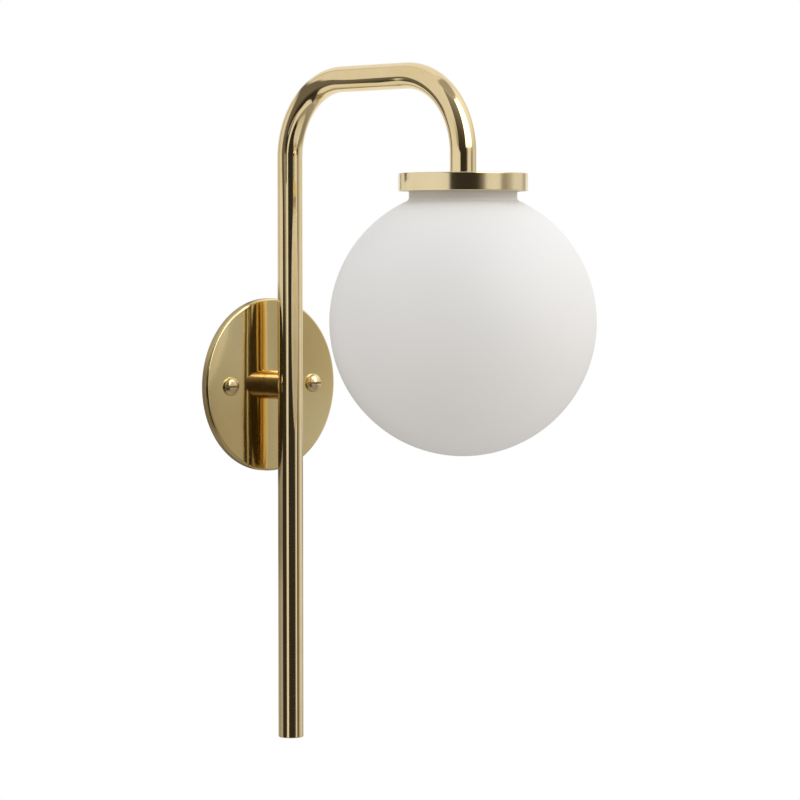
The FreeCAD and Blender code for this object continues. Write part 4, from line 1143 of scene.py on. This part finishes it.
@dataclass
class Studio:
    """The surroundings: an even pale room, its cards and lights, a floor and the camera.

    Headings are degrees from +X towards +Y, seen from above, so 90 looks into the wall and 270
    straight out into the room.
    """

    open_level: float = 0.42
    panels: tuple[Panel, ...] = (
        Panel("floor", 0.0, 190.0, 0.36, high=-48.0, soft_height=8.0),
        Panel("upper part of the room", 0.0, 190.0, 0.80, low=14.0, soft_height=8.0),
        Panel("ceiling", 270.0, 95.0, 0.40, 20.0, low=62.0),
        Panel("dark side of the room", 227.0, 39.0, 0.035, 5.0, low=-46.0, high=62.0,
              level_above=0.30, rise=66.0),
        Panel("dark corner beside the wall", 182.0, 7.0, 0.035, 3.0, -14.0, -1.2, 0.7),
        Panel("pale fold of the dark side", 268.0, 10.0, 0.36, 22.0, -2.0, 9.0, 1.5),
        Panel("shade under the softbox", 300.0, 46.0, 0.29, 12.0, -58.0, -14.0),
        Panel("pale side of the room", 338.0, 18.0, 0.76, 18.0, -12.0, 8.0),
        Panel("pale side higher up", 330.0, 26.0, 0.74, 10.0, 6.0, 57.0, level_above=1.04,
              rise=38.0),
        Panel("foot of the softbox", 285.0, 8.5, 0.84, 7.0, -12.0, 8.0, 2.0),
        Panel("lower edge of the softbox", 280.0, 16.0, 0.80, 9.0, -1.0, 8.0, 2.5),
        Panel("gap beside the softbox", 301.0, 7.0, 0.26, 6.0, high=2.0, soft_height=5.0),
        Panel("dark side below the softbox", 266.5, 4.0, 0.035, 4.0, -12.0, -3.2, 0.7),
        Panel("gap below the softbox", 295.5, 8.5, 0.10, 5.0, -12.0, -3.2, 0.7),
        Panel("softbox", 277.5, 28.5, 2.6, 5.0, 8.0, 61.0, 2.0),
    )
    card: SideCard = SideCard()
    wall: RearWall = RearWall()
    hidden_from: tuple[str, ...] = ("camera", "diffuse", "transmission", "volume_scatter",
                                    "shadow")
    even: float = 0.75
    slope: Triple = (0.13, -0.13, 0.26)
    across: Triple = (0.678, -0.678, 0.284)
    across_gain: float = 0.19
    along: Triple = (0.706, 0.706, -0.05)
    along_loss: float = 0.13
    green_loss_below: float = 0.06
    blue_loss_below: float = 0.13
    floor_height: float = -0.75
    floor_radius: float = 1.6
    floor_y: float = -0.12
    floor_fade: Pair = (0.95, 0.35)
    floor_tones: tuple[Triple, Triple] = ((0.93, 0.93, 0.93), (0.95, 0.95, 0.95))
    floor_grain: float = 300.0
    eye: Triple = (-1.5916, -1.7438, 0.1110)
    sight: Pair = (44.976, -3.0)
    lens: float = 132.55
    sensor: float = 36.0
    clip: Pair = (0.01, 50.0)

    def room(self, graph: Graph, way: Signal) -> Signal:
        """The level that polished surfaces see in each direction.

        The level moves from what lies behind each panel towards the panel's own by its cover.

        Args:
            graph: the world's graph.
            way: the direction.

        Returns:
            The level.
        """
        x, y, z = graph.parts(way)
        heading = y.arctan2(x) * DEGREES
        lift = z.arcsine() * DEGREES
        level = self.open_level + 0.0 * z
        for panel in self.panels:
            own = panel.level
            if panel.level_above is not None:
                own = own + Fade(panel.level_above - own, 0.0, panel.rise).at(lift)
            level = level + (own - level) * panel.cover(heading, lift)
        return level

    def world(self) -> None:
        """Builds the surroundings.

        The camera and the light that passes through glass see white, and polished surfaces see
        the room. Everything else is lit by an even level that rises slowly along one direction,
        is a little higher at both ends of the line across the view and lower along the view, and
        turns slightly warmer downwards.
        """
        world = bpy.data.worlds.new("studio")
        bpy.context.scene.world = world
        world.cycles.sampling_method = "NONE"
        graph = Graph(world)
        way = graph.place("Generated")
        path = graph.node("LightPath")
        eye, gloss, through = (Signal(graph, path.outputs[name]) for name in
                               ("Is Camera Ray", "Is Glossy Ray", "Is Transmission Ray"))
        slope, across, along = (
            graph.make("VectorMath", {0: way, 1: line}, "Value", operation="DOT_PRODUCT")
            for line in (self.slope, self.across, self.along))
        soft = (self.even + slope + self.across_gain * across * across
                - self.along_loss * along * along)
        down = 0.5 - 0.5 * graph.parts(way)[2]
        lit = graph.joined(soft, soft * (1.0 - self.green_loss_below * down),
                           soft * (1.0 - self.blue_loss_below * down))
        seen = graph.blend(gloss, WHITE, graph.warmed(self.room(graph, way)))
        shown = (eye + gloss + through).lesser(1.0)
        back = graph.make("Background", {"Color": graph.blend(shown, lit, seen),
                                         "Strength": 1.0})
        graph.node("OutputWorld", {"Surface": back})

    def near_cards(self) -> None:
        """Stands the card and the wall in place and hides them from all but reflections."""
        for piece in (self.card.build(), self.wall.build()):
            for ray in self.hidden_from:
                setattr(piece, "visible_" + ray, False)

    def floor(self) -> None:
        """Lays a pale round floor that keeps the light's shadow.

        It fades out at its edge, between two shares of its radius, and shows its upper side alone.
        """
        r = np.append(np.linspace(1.0, 0.05, 12), 0.0) * self.floor_radius
        profile = np.stack([r, np.full(len(r), self.floor_height)], -1)
        graph = Graph(bpy.data.materials.new("pale_floor"))
        x, y, _ = graph.parts(graph.place())
        y = y - self.floor_y
        fade = [self.floor_radius * share for share in self.floor_fade]
        grain = graph.noise(graph.place(), self.floor_grain)
        matt = graph.make("BsdfDiffuse", {"Color": graph.blend(grain, *self.floor_tones)})
        shown = ((x * x + y * y) ** 0.5).eased(*fade) * graph.front()
        skin = Skin.turned(profile, Facing.UPRIGHT, self.floor_y, 96)
        disc = build("floor", [skin], graph.cover(shown, matt), solid=False)
        disc.visible_glossy = False
        disc.visible_diffuse = False

    def camera(self) -> None:
        """Sets the camera where the photograph's stood, square to the horizon."""
        turn, tilt = self.sight
        data = bpy.data.cameras.new("camera")
        data.lens, data.sensor_width = self.lens, self.sensor
        data.clip_start, data.clip_end = self.clip
        camera = bpy.data.objects.new("camera", data)
        bpy.context.scene.collection.objects.link(camera)
        camera.location = self.eye
        camera.rotation_euler = np.radians((90.0 + tilt, 0.0, -turn))
        bpy.context.scene.camera = camera

    def dress(self) -> None:
        """Builds the whole studio."""
        self.world()
        self.near_cards()
        self.floor()
        self.camera()
        bpy.context.scene.view_settings.view_transform = "Standard"
        LOG.info("studio with %d panels", len(self.panels))


def main() -> None:
    """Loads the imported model, dresses it piece by piece and lights it."""
    logging.basicConfig(level=logging.INFO, format="%(name)s: %(message)s")
    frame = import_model()
    slots = {part["node"]: part["material_slot"] for part in frame["record"]["subparts"]}
    arm_brass, plate_brass = ARM_BRASS.material(), PLATE_BRASS.material()
    turned_brass, rim_brass = TURNED_BRASS.material(), RIM_BRASS.material()
    Studio().dress()
    WallPlate().dress(plate_brass)
    FaceScrews().dress(SCREW_BRASS.material())
    Standoff().dress(STUB_BRASS.material())
    Arm().dress(arm_brass, turned_brass)
    Gallery().dress(rim_brass)
    Globe().dress(Opal().material())
    InnerWorks(frame["nodes"], slots).dress()


if __name__ == "__main__":
    main()
